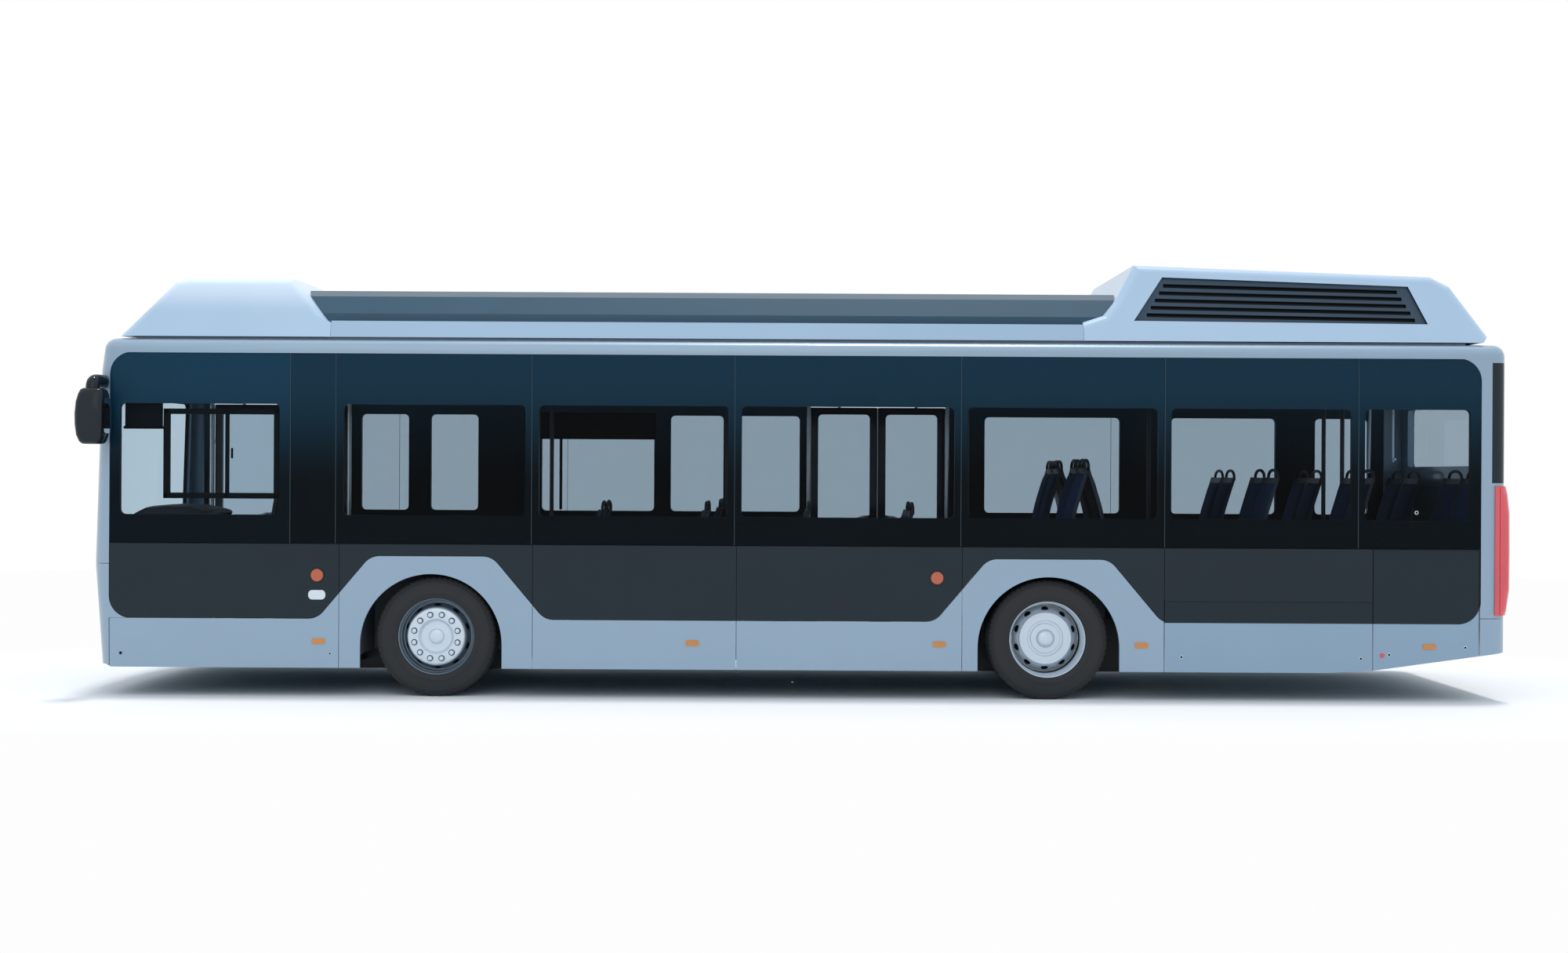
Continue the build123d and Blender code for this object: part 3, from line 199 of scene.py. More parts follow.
SILVER = (0.285, 0.385, 0.480)
# Lighter copy of the body's silver for the roof pods: painted light, as the roof takes more light
PAINTED_LIGHT_SILVER = (0.44, 0.57, 0.71)
BLACK = (0.010, 0.020, 0.028)
GLOSS_ROUGHNESS = 0.06
GLOSS_SPECULAR = 0.25
PRINT_R = 0.05


# Flap paint: light skirt below the belt line, black band above it with a rounded rear corner
def flap_finish():
    material = finish("flap_paint", SILVER, 0.3, 0.1, 0.0, 250.0, 0.03, 0.03, GLOSS_SPECULAR)
    net = Net(material)
    shader = net.nodes["Principled BSDF"].inputs
    paint, roughness = shader["Base Color"], shader["Roughness"]
    axes = net.axes()
    past_x = net.math("SUBTRACT", axes["X"], BAND_REAR_X - BAND_R)
    under_z = net.math("SUBTRACT", BELT_Z + BAND_R, axes["Z"])
    inside = net.math("LESS_THAN", net.overreach(past_x, under_z), BAND_R**2)
    net.put(net.color_mix(inside, paint.links[0].from_socket, BLACK), paint)
    gloss = net.add("Mix")
    net.put(inside, gloss.inputs["Factor"])
    net.put(roughness.links[0].from_socket, gloss.inputs["A"])
    net.put(GLOSS_ROUGHNESS, gloss.inputs["B"])
    net.put(gloss.outputs["Result"], roughness)
    return material


# Glass with a black printed border: clear within half_y of the middle and half_z of mid_z
def printed_glass(name, tint, half_y, mid_z, half_z):
    material = glass(name, tint)
    net = Net(material)
    out = net.nodes["Material Output"].inputs["Surface"]
    axes = net.axes()
    past = []
    for away, half in ((axes["Y"], half_y), (net.math("SUBTRACT", axes["Z"], mid_z), half_z)):
        past.append(net.math("SUBTRACT", net.math("ABSOLUTE", away), half - PRINT_R))
    outside = net.math("GREATER_THAN", net.overreach(*past), PRINT_R**2)
    border = net.add("BsdfPrincipled")
    net.put(BLACK, border.inputs["Base Color"])
    net.put(GLOSS_ROUGHNESS, border.inputs["Roughness"])
    net.put(GLOSS_SPECULAR, border.inputs["Specular IOR Level"])
    net.put(net.shader_mix(outside, out.links[0].from_socket, border.outputs[0]), out)
    return material


# Woven cloth: two crossed waves give the threads
def weave(name, color, pitch):
    material = finish(name, color, 0.92, grain=900.0, bump=0.2, mottle=0.2, specular=0.2)
    net = Net(material)
    heights = []
    for direction in ("X", "Y"):
        wave = net.add("TexWave")
        wave.bands_direction = direction
        for value, socket in ((pitch, "Scale"), (0.4, "Distortion"), (net.place(), "Vector")):
            net.put(value, wave.inputs[socket])
        heights.append(wave.outputs["Fac"])
    threads = net.bump(net.math("MAXIMUM", *heights), 0.5, 0.002)
    net.put(threads, net.nodes["Principled BSDF"].inputs["Normal"])
    return material


silver = finish("silver_paint", SILVER, 0.3, 0.1, 0.6, 250.0, 0.03, 0.03)
# Roof pods and strips: lighter copies of the body's silver, as painted light; the front pod also grows
# lighter towards the top, a painted highlight from the sky
pale_painted_light = finish("pale_paint", PAINTED_LIGHT_SILVER, 0.34, 0.0, 0.4, 250.0, 0.03, 0.03)
pod_paint_painted_highlight = finish("pod_paint_painted_highlight", PAINTED_LIGHT_SILVER, 0.34, 0.0, 0.4, 250.0, 0.03, 0.03)
pod_paint_painted_highlight = paint_light_by_height(pod_paint_painted_highlight, (2.93, 3.20), (0.74, 0.82, 0.92))
strip_paint_painted_light = finish("strip_paint_painted_light", (0.35, 0.48, 0.62), 0.34, 0.0, 0.4, 250.0, 0.03, 0.03)
slate = finish("slate_cover", (0.026, 0.078, 0.122), 0.42, 0.0, 0.1, 120.0, 0.05, 0.08, 0.3)
black_gloss = finish("black_gloss", BLACK, 0.06, grain=60.0, bump=0.01, mottle=0.1, specular=0.25)
flap_paint = flap_finish()
dark_plastic = finish("dark_plastic", (0.018, 0.02, 0.023), 0.55, grain=500.0, bump=0.25)
mirror_shell = finish("mirror_shell", (0.010, 0.016, 0.022), 0.12, grain=80.0, bump=0.02, specular=0.25)
dark_frame = finish("dark_frame", (0.004, 0.006, 0.008), 0.5, grain=400.0, bump=0.15, specular=0.1)
# Black side frames behind the glass, bluer towards the top: a painted reflection of the sky
side_print_painted_sky = finish("side_print_painted_sky", (0.003, 0.008, 0.011), 0.5, grain=400.0, bump=0.1, specular=0.1)
side_print_painted_sky = paint_light_by_height(side_print_painted_sky, (1.60, 2.50), (0.034, 0.108, 0.152))
chassis = finish("chassis_paint", (0.022, 0.023, 0.026), 0.6, grain=200.0, bump=0.2, mottle=0.25)
floor_cover = finish("floor_cover", (0.10, 0.115, 0.13), 0.7, grain=350.0, bump=0.3, mottle=0.2)
seat_shell = finish("seat_shell", (0.02, 0.024, 0.03), 0.5, grain=600.0, bump=0.2)
fabric = weave("seat_fabric", (0.025, 0.05, 0.11), 90.0)
# Grab poles darkened as painted shade, so they sink into the shaded saloon
pole_paint_painted_shade = finish("pole_paint_painted_shade", (0.03, 0.035, 0.042), 0.4, grain=500.0, bump=0.1)
steel = finish("handrail_steel", (0.58, 0.59, 0.60), 0.24, 1.0, grain=900.0, bump=0.05)
rim_metal = finish("rim_metal", (0.62, 0.69, 0.76), 0.36, 0.45, grain=200.0, bump=0.06, mottle=0.05)
# Darker copy of the rim metal for the front wheels' barrel: painted shade between the disc and the lip
barrel_painted_shade = finish("barrel_painted_shade", (0.20, 0.25, 0.30), 0.34, 0.7, grain=200.0, bump=0.06, mottle=0.1)
joint_seal = finish("joint_seal", (0.045, 0.080, 0.105), 0.5, grain=300.0, bump=0.1)
dark_metal = finish("dark_metal", (0.05, 0.055, 0.06), 0.45, 0.6, grain=200.0, bump=0.2)
rubber = finish("tyre_rubber", (0.016, 0.017, 0.019), 0.75, grain=500.0, bump=0.3, mottle=0.2)
seal = finish("seal_rubber", (0.010, 0.010, 0.011), 0.6, grain=300.0, bump=0.1)
red_lens = finish("red_lens", (0.74, 0.06, 0.08), 0.12, 0.0, 0.8, 90.0, 0.1, 0.2)
deep_red_lens = finish("deep_red_lens", (0.40, 0.012, 0.02), 0.1, 0.0, 0.8, 400.0, 0.3, 0.1)
amber_lens = finish("amber_lens", (0.62, 0.22, 0.035), 0.2, 0.0, 0.6, 700.0, 0.3, 0.1)
red_amber_lens = finish("indicator_lens", (0.50, 0.09, 0.03), 0.15, 0.0, 0.7, 500.0, 0.3, 0.1)
grille_slate = finish("grille_slate", (0.040, 0.068, 0.100), 0.4, 0.0, 0.1, 120.0, 0.05, 0.06, 0.25)
white_lens = finish("white_lens", (0.72, 0.76, 0.80), 0.15, 0.0, 0.6, 700.0, 0.2, 0.05)
reflector = finish("lamp_reflector", (0.85, 0.86, 0.88), 0.08, 1.0, grain=60.0, bump=0.03, mottle=0.02)
clear_lens = glass("clear_lens", (0.93, 0.95, 0.97))
side_glass = glass("side_glass", (0.690, 0.742, 0.780))
driver_glass = glass("driver_glass", (0.715, 0.795, 0.845))
rear_glass = printed_glass("tail_glass", (0.765, 0.805, 0.84), 1.0, 2.0625, 0.2475)
screen_glass = printed_glass("screen_glass", (0.90, 0.93, 0.95), 1.035, 1.750, 0.560)
tank_shell = finish("tank_shell", (0.02, 0.02, 0.022), 0.4, 0.0, 0.3, 150.0, 0.2)

USES = {
    silver: ("front_mask", "front_bumper", "rear_wall", "rear_bumper", "rear_hatch", "skirt_panels",
             "roof_panel"),
    pod_paint_painted_highlight: ("front_roof_pod",),
    pale_painted_light: ("rear_roof_pod",),
    strip_paint_painted_light: ("roof_strips",),
    slate: ("tank_cover",),
    black_gloss: ("band_panels",),
    flap_paint: ("left_side_flap", "right_side_flap", "left_corner_flap", "right_corner_flap"),
    dark_plastic: ("mirrors", "dashboard", "steering_wheel", "cab_partition", "door_headers"),
    side_print_painted_sky: ("side_frames",),
    chassis: ("underframe", "towing_eyes", "front_axle", "rear_axle", "traction_motor", "fuel_cell_block",
              "left_knuckle", "right_knuckle"),
    floor_cover: ("floor_deck",),
    fabric: ("passenger_seats", "driver_seat"),
    pole_paint_painted_shade: ("grab_poles",),
    steel: ("door1_fore_pillar", "door1_aft_pillar", "door2_fore_pillar", "door2_aft_pillar"),
    rim_metal: ("left_front_rim", "right_front_rim", "left_rear_rim", "right_rear_rim"),
    rubber: ("left_front_tyre", "right_front_tyre", "left_rear_tyres", "right_rear_tyres"),
    red_lens: ("rear_lamps",),
    amber_lens: ("side_lamps",),
    clear_lens: ("headlamps",),
    side_glass: ("side_glazing",),
    rear_glass: ("rear_window",),
    screen_glass: ("windscreen",),
    tank_shell: ("tank_pack",),
}


def dress(name, *materials):
    nodes[name].data.materials.clear()
    for material in materials:
        nodes[name].data.materials.append(material)


for material, names in USES.items():
    for name in names:
        dress(name, material)
dress("side_glazing", side_glass, driver_glass)
for face in nodes["side_glazing"].data.polygons:
    face.material_index = 1 if face.center.x < CAB_REAR_X else 0


# Mesh helpers
def placed(name, data):
    obj = bpy.data.objects.new(name, data)
    bpy.context.scene.collection.objects.link(obj)
    return obj


class Shape:
    """Points and faces of one piece, gathered from simple forms."""

    def __init__(self):
        self.points = []
        self.faces = []

    def add(self, points, faces):
        start = len(self.points)
        self.points += [tuple(point) for point in points]
        self.faces += [tuple(start + k for k in face) for face in faces]

    def grid(self, rows, close_rows=False, close_columns=False):
        wide = len(rows[0])
        faces = []
        for r in range(len(rows) if close_rows else len(rows) - 1):
            for c in range(wide if close_columns else wide - 1):
                here, there = r * wide, (r + 1) % len(rows) * wide
                faces.append((here + c, here + (c + 1) % wide, there + (c + 1) % wide, there + c))
        self.add([point for row in rows for point in row], faces)

    def caps(self, rows):
        for row in (rows[0], rows[-1]):
            self.add(row, [tuple(range(len(row)))])

    def lathe(self, profile, segments, centre=(0, 0, 0), side=1, closed=False, dent=None):
        rows = []
        for step in range(segments):
            turn = 2 * math.pi * step / segments
            row = []
            for radius, out in profile:
                reach = radius - dent(step, radius, out) if dent else radius
                row.append((centre[0] + reach * math.cos(turn), side * (centre[1] + out),
                            centre[2] + reach * math.sin(turn)))
            rows.append(row)
        self.grid(rows, True, closed)

    def tube(self, path, radius, sides=10, closed=False):
        path = [Vector(point) for point in path]
        rows = []
        up = Vector((0.31, 0.17, 0.94))
        for k, point in enumerate(path):
            before = path[k - 1] if closed or k > 0 else point
            after = path[(k + 1) % len(path)] if closed or k < len(path) - 1 else point
            along = (after - before).normalized()
            across = along.cross(up).normalized()
            up = across.cross(along).normalized()
            ring = []
            for step in range(sides):
                turn = 2 * math.pi * step / sides
                ring.append(point + radius * (math.cos(turn) * across + math.sin(turn) * up))
            rows.append(ring)
        self.grid(rows, closed, True)
        if not closed:
            self.caps(rows)

    def box(self, low, high, bevel=0.004):
        solid = bmesh.new()
        bmesh.ops.create_cube(solid, size=1.0)
        for point in solid.verts:
            share = [part + 0.5 for part in point.co]
            point.co = [a + s * (b - a) for a, b, s in zip(low, high, share)]
        bmesh.ops.bevel(solid, geom=list(solid.edges), offset=bevel, segments=3, profile=0.5, affect="EDGES")
        solid.verts.index_update()
        self.add([point.co for point in solid.verts], [[p.index for p in face.verts] for face in solid.faces])
        solid.free()

    def plate(self, loop, y_from, y_to):
        count = len(loop)
        points = [(x, y, z) for y in (y_from, y_to) for x, z in loop]
        faces = [tuple(range(count)), tuple(range(2 * count - 1, count - 1, -1))]
        faces += [(k, (k + 1) % count, count + (k + 1) % count, count + k) for k in range(count)]
        self.add(points, faces)

    def disc(self, profile, segments, spot):
        flat = Shape()
        flat.lathe(profile, segments)
        self.add([spot @ Vector(point) for point in flat.points], flat.faces)

    def sheet(self, mesh, x, y, z, way):
        points = [(x + way * point.co.x, y + point.co.y, z + point.co.z) for point in mesh.vertices]
        self.add(points, [tuple(face.vertices) for face in mesh.polygons])

    def mesh(self, name, merge):
        mesh = bpy.data.meshes.new(name)
        mesh.from_pydata(self.points, [], self.faces)
        joined = bmesh.new()
        joined.from_mesh(mesh)
        bmesh.ops.remove_doubles(joined, verts=joined.verts, dist=merge)
        bmesh.ops.recalc_face_normals(joined, faces=joined.faces)
        joined.to_mesh(mesh)
        joined.free()
        return mesh

    def piece(self, name, material, body="body", sharp=32, bevel=0.0):
        mesh = self.mesh(name, 1e-6)
        for face in mesh.polygons:
            face.use_smooth = True
        mesh.set_sharp_from_angle(angle=math.radians(sharp))
        mesh.materials.append(material)
        obj = placed(name, mesh)
        if bevel:
            edge = obj.modifiers.new("edge", "BEVEL")
            edge.width = bevel
            edge.segments = 2
        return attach(obj, body)


def smooth(points, steps=6):
    points = [Vector(point) for point in points]
    ends = [2 * points[0] - points[1], *points, 2 * points[-1] - points[-2]]
    path = []
    for a, b, c, d in zip(ends, ends[1:], ends[2:], ends[3:]):
        for step in range(steps):
            t = step / steps
            path.append(0.5 * (2 * b + (c - a) * t + (2 * a - 5 * b + 4 * c - d) * t**2
                               + (3 * b - a - 3 * c + d) * t**3))
    return [*path, points[-1]]


def rounded(x, z, radius, steps=6):
    loop = []
    for cx, cz, start in ((x[1], z[1], 0), (x[0], z[1], 90), (x[0], z[0], 180), (x[1], z[0], 270)):
        mid_x = cx - radius if cx == x[1] else cx + radius
        mid_z = cz - radius if cz == z[1] else cz + radius
        for step in range(steps + 1):
            turn = math.radians(start + 90 * step / steps)
            loop.append((mid_x + radius * math.cos(turn), mid_z + radius * math.sin(turn)))
    return loop


# Wheels: ribbed tyre, pressed steel rim with hand holes, wheel nuts
TREAD_GROOVES = (-0.060, -0.020, 0.020, 0.060)
TYRE_SIDE = (
    # radius, offset from the tyre's middle
    (0.292, 0.108), (0.298, 0.117), (0.312, 0.124), (0.330, 0.129), (0.3335, 0.1315), (0.337, 0.1298),
    (0.365, 0.132), (0.395, 0.1315), (0.412, 0.129), (0.4145, 0.1302), (0.418, 0.1278), (0.436, 0.121),
    (0.448, 0.114), (0.4555, 0.107), (0.4592, 0.099),
)
FRONT_FACE = (
    # radius, offset outward from the tyre's middle
    (0.0, 0.112), (0.018, 0.1115), (0.036, 0.109), (0.050, 0.104), (0.058, 0.096), (0.060, 0.090),
    (0.066, 0.0885), (0.104, 0.0885), (0.114, 0.090), (0.124, 0.099), (0.132, 0.113), (0.137, 0.118),
    (0.150, 0.1195), (0.204, 0.1185), (0.214, 0.115), (0.220, 0.108), (0.2215, 0.098), (0.2235, 0.086),
    (0.226, 0.076),
)
FRONT_HOLES = ((0.226, 0.076), (0.258, 0.020))
REAR_FACE = (
    (0.0, 0.024), (0.020, 0.0232), (0.040, 0.020), (0.055, 0.014), (0.065, 0.004), (0.0685, -0.010),
    (0.072, -0.013), (0.112, -0.014), (0.1145, -0.018), (0.1155, -0.027), (0.136, -0.027), (0.1375, -0.018),
    (0.140, -0.014), (0.198, -0.015), (0.202, -0.018), (0.204, -0.028),
)
REAR_HOLES = ((0.204, -0.028), (0.258, -0.072))
BARREL = (
    # radius, share of the way from the well to the flange
    (0.262, 0.0), (0.266, 0.03), (0.270, 0.35), (0.2715, 0.62), (0.276, 0.66), (0.279, 0.80), (0.284, 0.91),
)
BARREL_END = 0.104
FLANGE = (
    # radius, offset: outer lip, then the back of the rim
    (0.289, 0.1035), (0.2945, 0.1075), (0.2985, 0.108), (0.3005, 0.1055), (0.300, 0.102), (0.294, 0.100),
    (0.2915, 0.098), (0.2915, -0.098), (0.300, -0.104), (0.296, -0.108), (0.284, -0.100), (0.268, -0.030),
)
TWIN_RIM = ((0.2915, -0.098), (0.2915, 0.098), (0.270, 0.09), (0.262, -0.02), (0.262, 0.09), (0.08, 0.10))
HAND_HOLES = 10
GROOVE_DEPTH = 0.013
GROOVE_LIP, GROOVE_FOOT = 0.0055, 0.0035
NOTCH_DEPTH = 0.007


def tyre(shape, centre, side):
    deep = TYRE_R - GROOVE_DEPTH
    tread = []
    for groove in TREAD_GROOVES:
        tread += [(TYRE_R, groove - GROOVE_LIP), (deep, groove - GROOVE_FOOT),
                  (deep, groove + GROOVE_FOOT), (TYRE_R, groove + GROOVE_LIP)]
    profile = [(r, -out) for r, out in TYRE_SIDE] + tread + [*reversed(TYRE_SIDE)]

    def notch(step, radius, out):
        at_shoulder = abs(out) > 0.085 and radius > 0.44
        return NOTCH_DEPTH if at_shoulder and step % 4 == 0 else 0.0

    shape.lathe(profile, 256, centre, side, True, notch)


def holed_ring(shape, inner, outer, centre, side, first_turn):
    count = 32
    half = math.pi / HAND_HOLES
    for number in range(HAND_HOLES):
        middle = first_turn + 2 * half * number
        loops = []
        for share, depth in ((1.0, 0.0), (0.5, 0.0), (0.06, 0.0), (0.0, 0.002), (0.0, 0.016)):
            loop = []
            for step in range(count):
                turn = 2 * math.pi * step / count
                reach = 1 / max(abs(math.cos(turn)), abs(math.sin(turn)))
                across = math.cos(turn) * (share * half * reach + (1 - share) * 0.125)
                along = 0.5 + math.sin(turn) * (share * 0.5 * reach + (1 - share) * 0.27)
                radius, out = [a + along * (b - a) for a, b in zip(inner, outer)]
                angle = middle + across
                loop.append((centre[0] + radius * math.cos(angle), side * (centre[1] + out - depth),
                             centre[2] + radius * math.sin(angle)))
            loops.append(loop)
        shape.grid(loops, False, True)


NUT = ((0.0, 0.0200), (0.009, 0.0198), (0.0145, 0.0180), (0.0170, 0.0140), (0.0178, 0.0))
NUT_COUNT = 12
NUT_RING_R = 0.172
NUT_FACE = 0.119
# Dark metal ring round the foot of each nut: painted shade where the nut meets the disc
NUT_SHADE_RING = ((0.0180, 0.0040), (0.0225, 0.0040), (0.0240, 0.0030), (0.0240, -0.001))


def wheel_nuts(shape, seats, centre, side):
    for number in range(NUT_COUNT):
        turn = 2 * math.pi * (number + 0.5) / NUT_COUNT
        place = (centre[0] + NUT_RING_R * math.cos(turn), centre[1] + NUT_FACE,
                 centre[2] + NUT_RING_R * math.sin(turn))
        shape.lathe(NUT, 20, place, side)
        seats.lathe(NUT_SHADE_RING, 20, place, side)


def rim(disc, ring, inside, face, holes, centre, side):
    disc.lathe(face, 96, centre, side)
    holed_ring(ring, holes[0], holes[1], centre, side, math.pi / HAND_HOLES)
    (hole_r, hole_out), (well_r, well_out) = holes
    barrel = [(r, well_out + share * (BARREL_END - well_out)) for r, share in BARREL]
    ring.lathe([(well_r, well_out), *barrel, *FLANGE], 96, centre, side)
    back = [FLANGE[-1], (well_r, well_out - 0.014), (hole_r, hole_out - 0.016), (0.062, hole_out - 0.020)]
    inside.lathe(back, 64, centre, side)


AXLES = (
    # word, x, how far in each tyre sits, tyre's piece, tyre's node, face, holes, metal of the barrel (darker
    # on the front wheels, as painted shade)
    ("front", FRONT_AXLE_X, (0.0,), "tyre_tread", "tyre", FRONT_FACE, FRONT_HOLES, barrel_painted_shade),
    ("rear", REAR_AXLE_X, (0.0, TWIN_PITCH), "tyre_treads", "tyres", REAR_FACE, REAR_HOLES, rim_metal),
)


def wheels():
    for word, side in SIDES:
        for axle, axle_x, insets, tread, tyre_node, face, holes, barrel in AXLES:
            wheel = f"{word}_{axle}"
            body = wheel + "_wheel"
            centre = (axle_x, WHEEL_Y, TYRE_R)
            rubber_ring, metal, ring, inside = Shape(), Shape(), Shape(), Shape()
            for inset in insets:
                tyre(rubber_ring, (axle_x, WHEEL_Y - inset, TYRE_R), side)
            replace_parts(rubber_ring.piece(f"{wheel}_{tread}", rubber, body), f"{wheel}_{tyre_node}")
            rim(metal, ring, inside, face, holes, centre, side)
            if axle == "rear":
                inside.lathe(TWIN_RIM, 64, (axle_x, WHEEL_Y - TWIN_PITCH, TYRE_R), side)
            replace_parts(metal.piece(body + "_disc", rim_metal, body), wheel + "_rim")
            ring.piece(body + "_barrel", barrel, body)
            # The back of the rim and, on the rear wheels, the inner twin rim are near black: painted shade
            # seen through the hand holes
            inside.piece(body + "_back", dark_frame, body)
            if axle == "front":
                nuts, seats = Shape(), Shape()
                wheel_nuts(nuts, seats, centre, side)
                nuts.piece(body + "_nuts", rim_metal, body)
                # Dark rings round the nuts: painted shade
                seats.piece(wheel + "_nut_shade_rings", dark_metal, body)


wheels()


# Door leaves: glass in a black frame, rubber edges and a grab rail
DOOR_RAIL = (
    # share of the lean, distance from the leaf, height
    (1.0, 0.0, 1.16), (1.0, 0.05, 1.165), (0.6, 0.055, 1.23), (-0.8, 0.055, 1.34), (-1.0, 0.05, 1.345),
    (-1.18, 0.0, 1.35),
)


def doors():
    for number, centre_x in enumerate(DOOR_CENTRES_X, 1):
        for word, hand in (("fore", -1), ("aft", 1)):
            name = f"door{number}_{word}_leaf"
            dress(name, black_gloss, side_glass)
            pane_y = (HALF_WIDTH - 0.0105, HALF_WIDTH - 0.0035)
            for face in nodes[name].data.polygons:
                if pane_y[0] < face.center.y < pane_y[1]:
                    face.material_index = 1
            outer = centre_x + hand * LEAF_EDGE
            inner = outer - hand * LEAF_WIDTH
            edges = Shape()
            for x, way in ((inner, -hand), (outer, hand)):
                ends = (LEAF_Z[0] + 0.004, LEAF_Z[1] - 0.004)
                edges.tube([(x + way * 0.003, HALF_WIDTH - LEAF_THICK / 2, z) for z in ends], 0.0055, 12)
            edges.piece(name + "_seals", seal, name)
            rail_x = centre_x + hand * (LEAF_EDGE - LEAF_WIDTH / 2)
            inside_y = HALF_WIDTH - LEAF_THICK
            lean = hand * 0.19
            rail = Shape()
            path = [(rail_x + share * lean, inside_y - depth, z) for share, depth, z in DOOR_RAIL]
            rail.tube(smooth(path), 0.014, 12)
            rail.piece(name + "_rail", steel, name)


doors()


# Passenger seats: moulded shells on stems, crowned pads and a loop handle over each back
SEAT_PITCH = 0.43
PAD_SWELL = 0.008
PAD_COLUMNS = 21
PAD_STEPS = 20
PAD_PRESSURE = 4.0
SEAT_WIDTH = 0.405
SEAT_Y = 0.735
SEAT_LINE = (
    # forward of the back's foot, height over the seat
    (0.430, -0.075), (0.415, -0.052), (0.330, -0.056), (0.200, -0.068), (0.125, -0.066), (0.080, -0.036),
    (0.062, 0.050), (0.046, 0.170), (0.014, 0.330), (-0.036, 0.500), (-0.070, 0.610), (-0.082, 0.650),
)
SEAT_ROWS = (
    # x of the back's foot, sides, height of the seat, foot height, way faced
    (-1.56, (-1,), 0.785, FLOOR_Z, -1),
    (-0.76, (-1,), 0.785, FLOOR_Z, -1),
    (0.04, (-1,), 0.785, FLOOR_Z, -1),
    (0.84, (-1,), 0.785, FLOOR_Z, -1),
    (-0.70, (1,), 0.785, FLOOR_Z, -1),
    (2.196, (-1, 1), 1.13, BOX_TOP_Z, -1),
    (2.33, (-1, 1), 1.13, BOX_TOP_Z, 1),
    (3.66, (-1, 1), 1.06, PLATFORM_Z, -1),
    (4.40, (-1, 1), 1.06, PLATFORM_Z, -1),
    (5.23, (-1, 1), 1.06, BENCH_DECK_Z, -1),
)


def seat_line(points):
    return [Vector((spot.x, spot.z)) for spot in smooth([(ahead, 0, rise) for ahead, rise in points], 3)]


def seat_surface(line, x, y, seat_z, way, width, lift, columns=13):
    rows = []
    for k, point in enumerate(line):
        along = (line[min(k + 1, len(line) - 1)] - line[max(k - 1, 0)]).normalized()
        normal = Vector((along.y, -along.x))
        row = []
        for c in range(columns):
            across = 2 * c / (columns - 1) - 1
            spread, rise = lift(across, k / (len(line) - 1))
            spot = point + normal * rise
            row.append((x + way * spot.x, y + across * width / 2 * spread, seat_z + spot.y))
        rows.append(row)
    return rows


def shell_lift(offset):
    return lambda across, share: (1.0, offset + 0.016 * abs(across)**5)


def closed_sheet(shape, front, back):
    shape.grid(front)
    shape.grid(back)
    border = [front[0], [row[-1] for row in front], front[-1], [row[0] for row in front]]
    behind = [back[0], [row[-1] for row in back], back[-1], [row[0] for row in back]]
    for near, far in zip(border, behind):
        shape.grid([near, far])


# A pad before it is filled: a low closed form whose sides pull in between its corners
def pad_mesh(line, width, thick):
    def top(across, share):
        end = 2 * share - 1
        crown = (1 - abs(across)**4) * (1 - abs(end)**6)
        return 0.94 - 0.025 * (1 - end**2) - 0.05 * abs(end)**12, 0.014 + (thick - PAD_SWELL) * crown**0.5

    def base(across, share):
        end = 2 * share - 1
        return 0.92 - 0.025 * (1 - end**2) - 0.05 * abs(end)**12, 0.009

    pad = Shape()
    front, behind = [seat_surface(line, 0, 0, 0, 1, width, lift, PAD_COLUMNS) for lift in (top, base)]
    closed_sheet(pad, front, behind)
    return pad.mesh("pad", 1e-5)


# Fill a pad by cloth simulation under pressure, with a cap on how far any point may move
def simulated(mesh):
    scene = bpy.context.scene
    pad = placed("pad", mesh)
    cloth = pad.modifiers.new("cloth", "CLOTH")
    cloth.settings.use_pressure = True
    cloth.settings.uniform_pressure_force = PAD_PRESSURE
    cloth.settings.quality = 6
    cloth.settings.effector_weights.gravity = 0.0
    cloth.point_cache.frame_start = 1
    cloth.point_cache.frame_end = PAD_STEPS
    for step in range(1, PAD_STEPS + 1):
        scene.frame_set(step)
    filled = pad.evaluated_get(bpy.context.evaluated_depsgraph_get()).to_mesh()
    moved = []
    for before, after in zip(mesh.vertices, filled.vertices):
        shift = after.co - before.co
        if shift.length > PAD_SWELL:
            shift *= PAD_SWELL / shift.length
        moved.append(before.co + shift)
    bpy.data.objects.remove(pad)
    for point, place in zip(mesh.vertices, moved):
        point.co = place
    scene.frame_set(1)
    return mesh


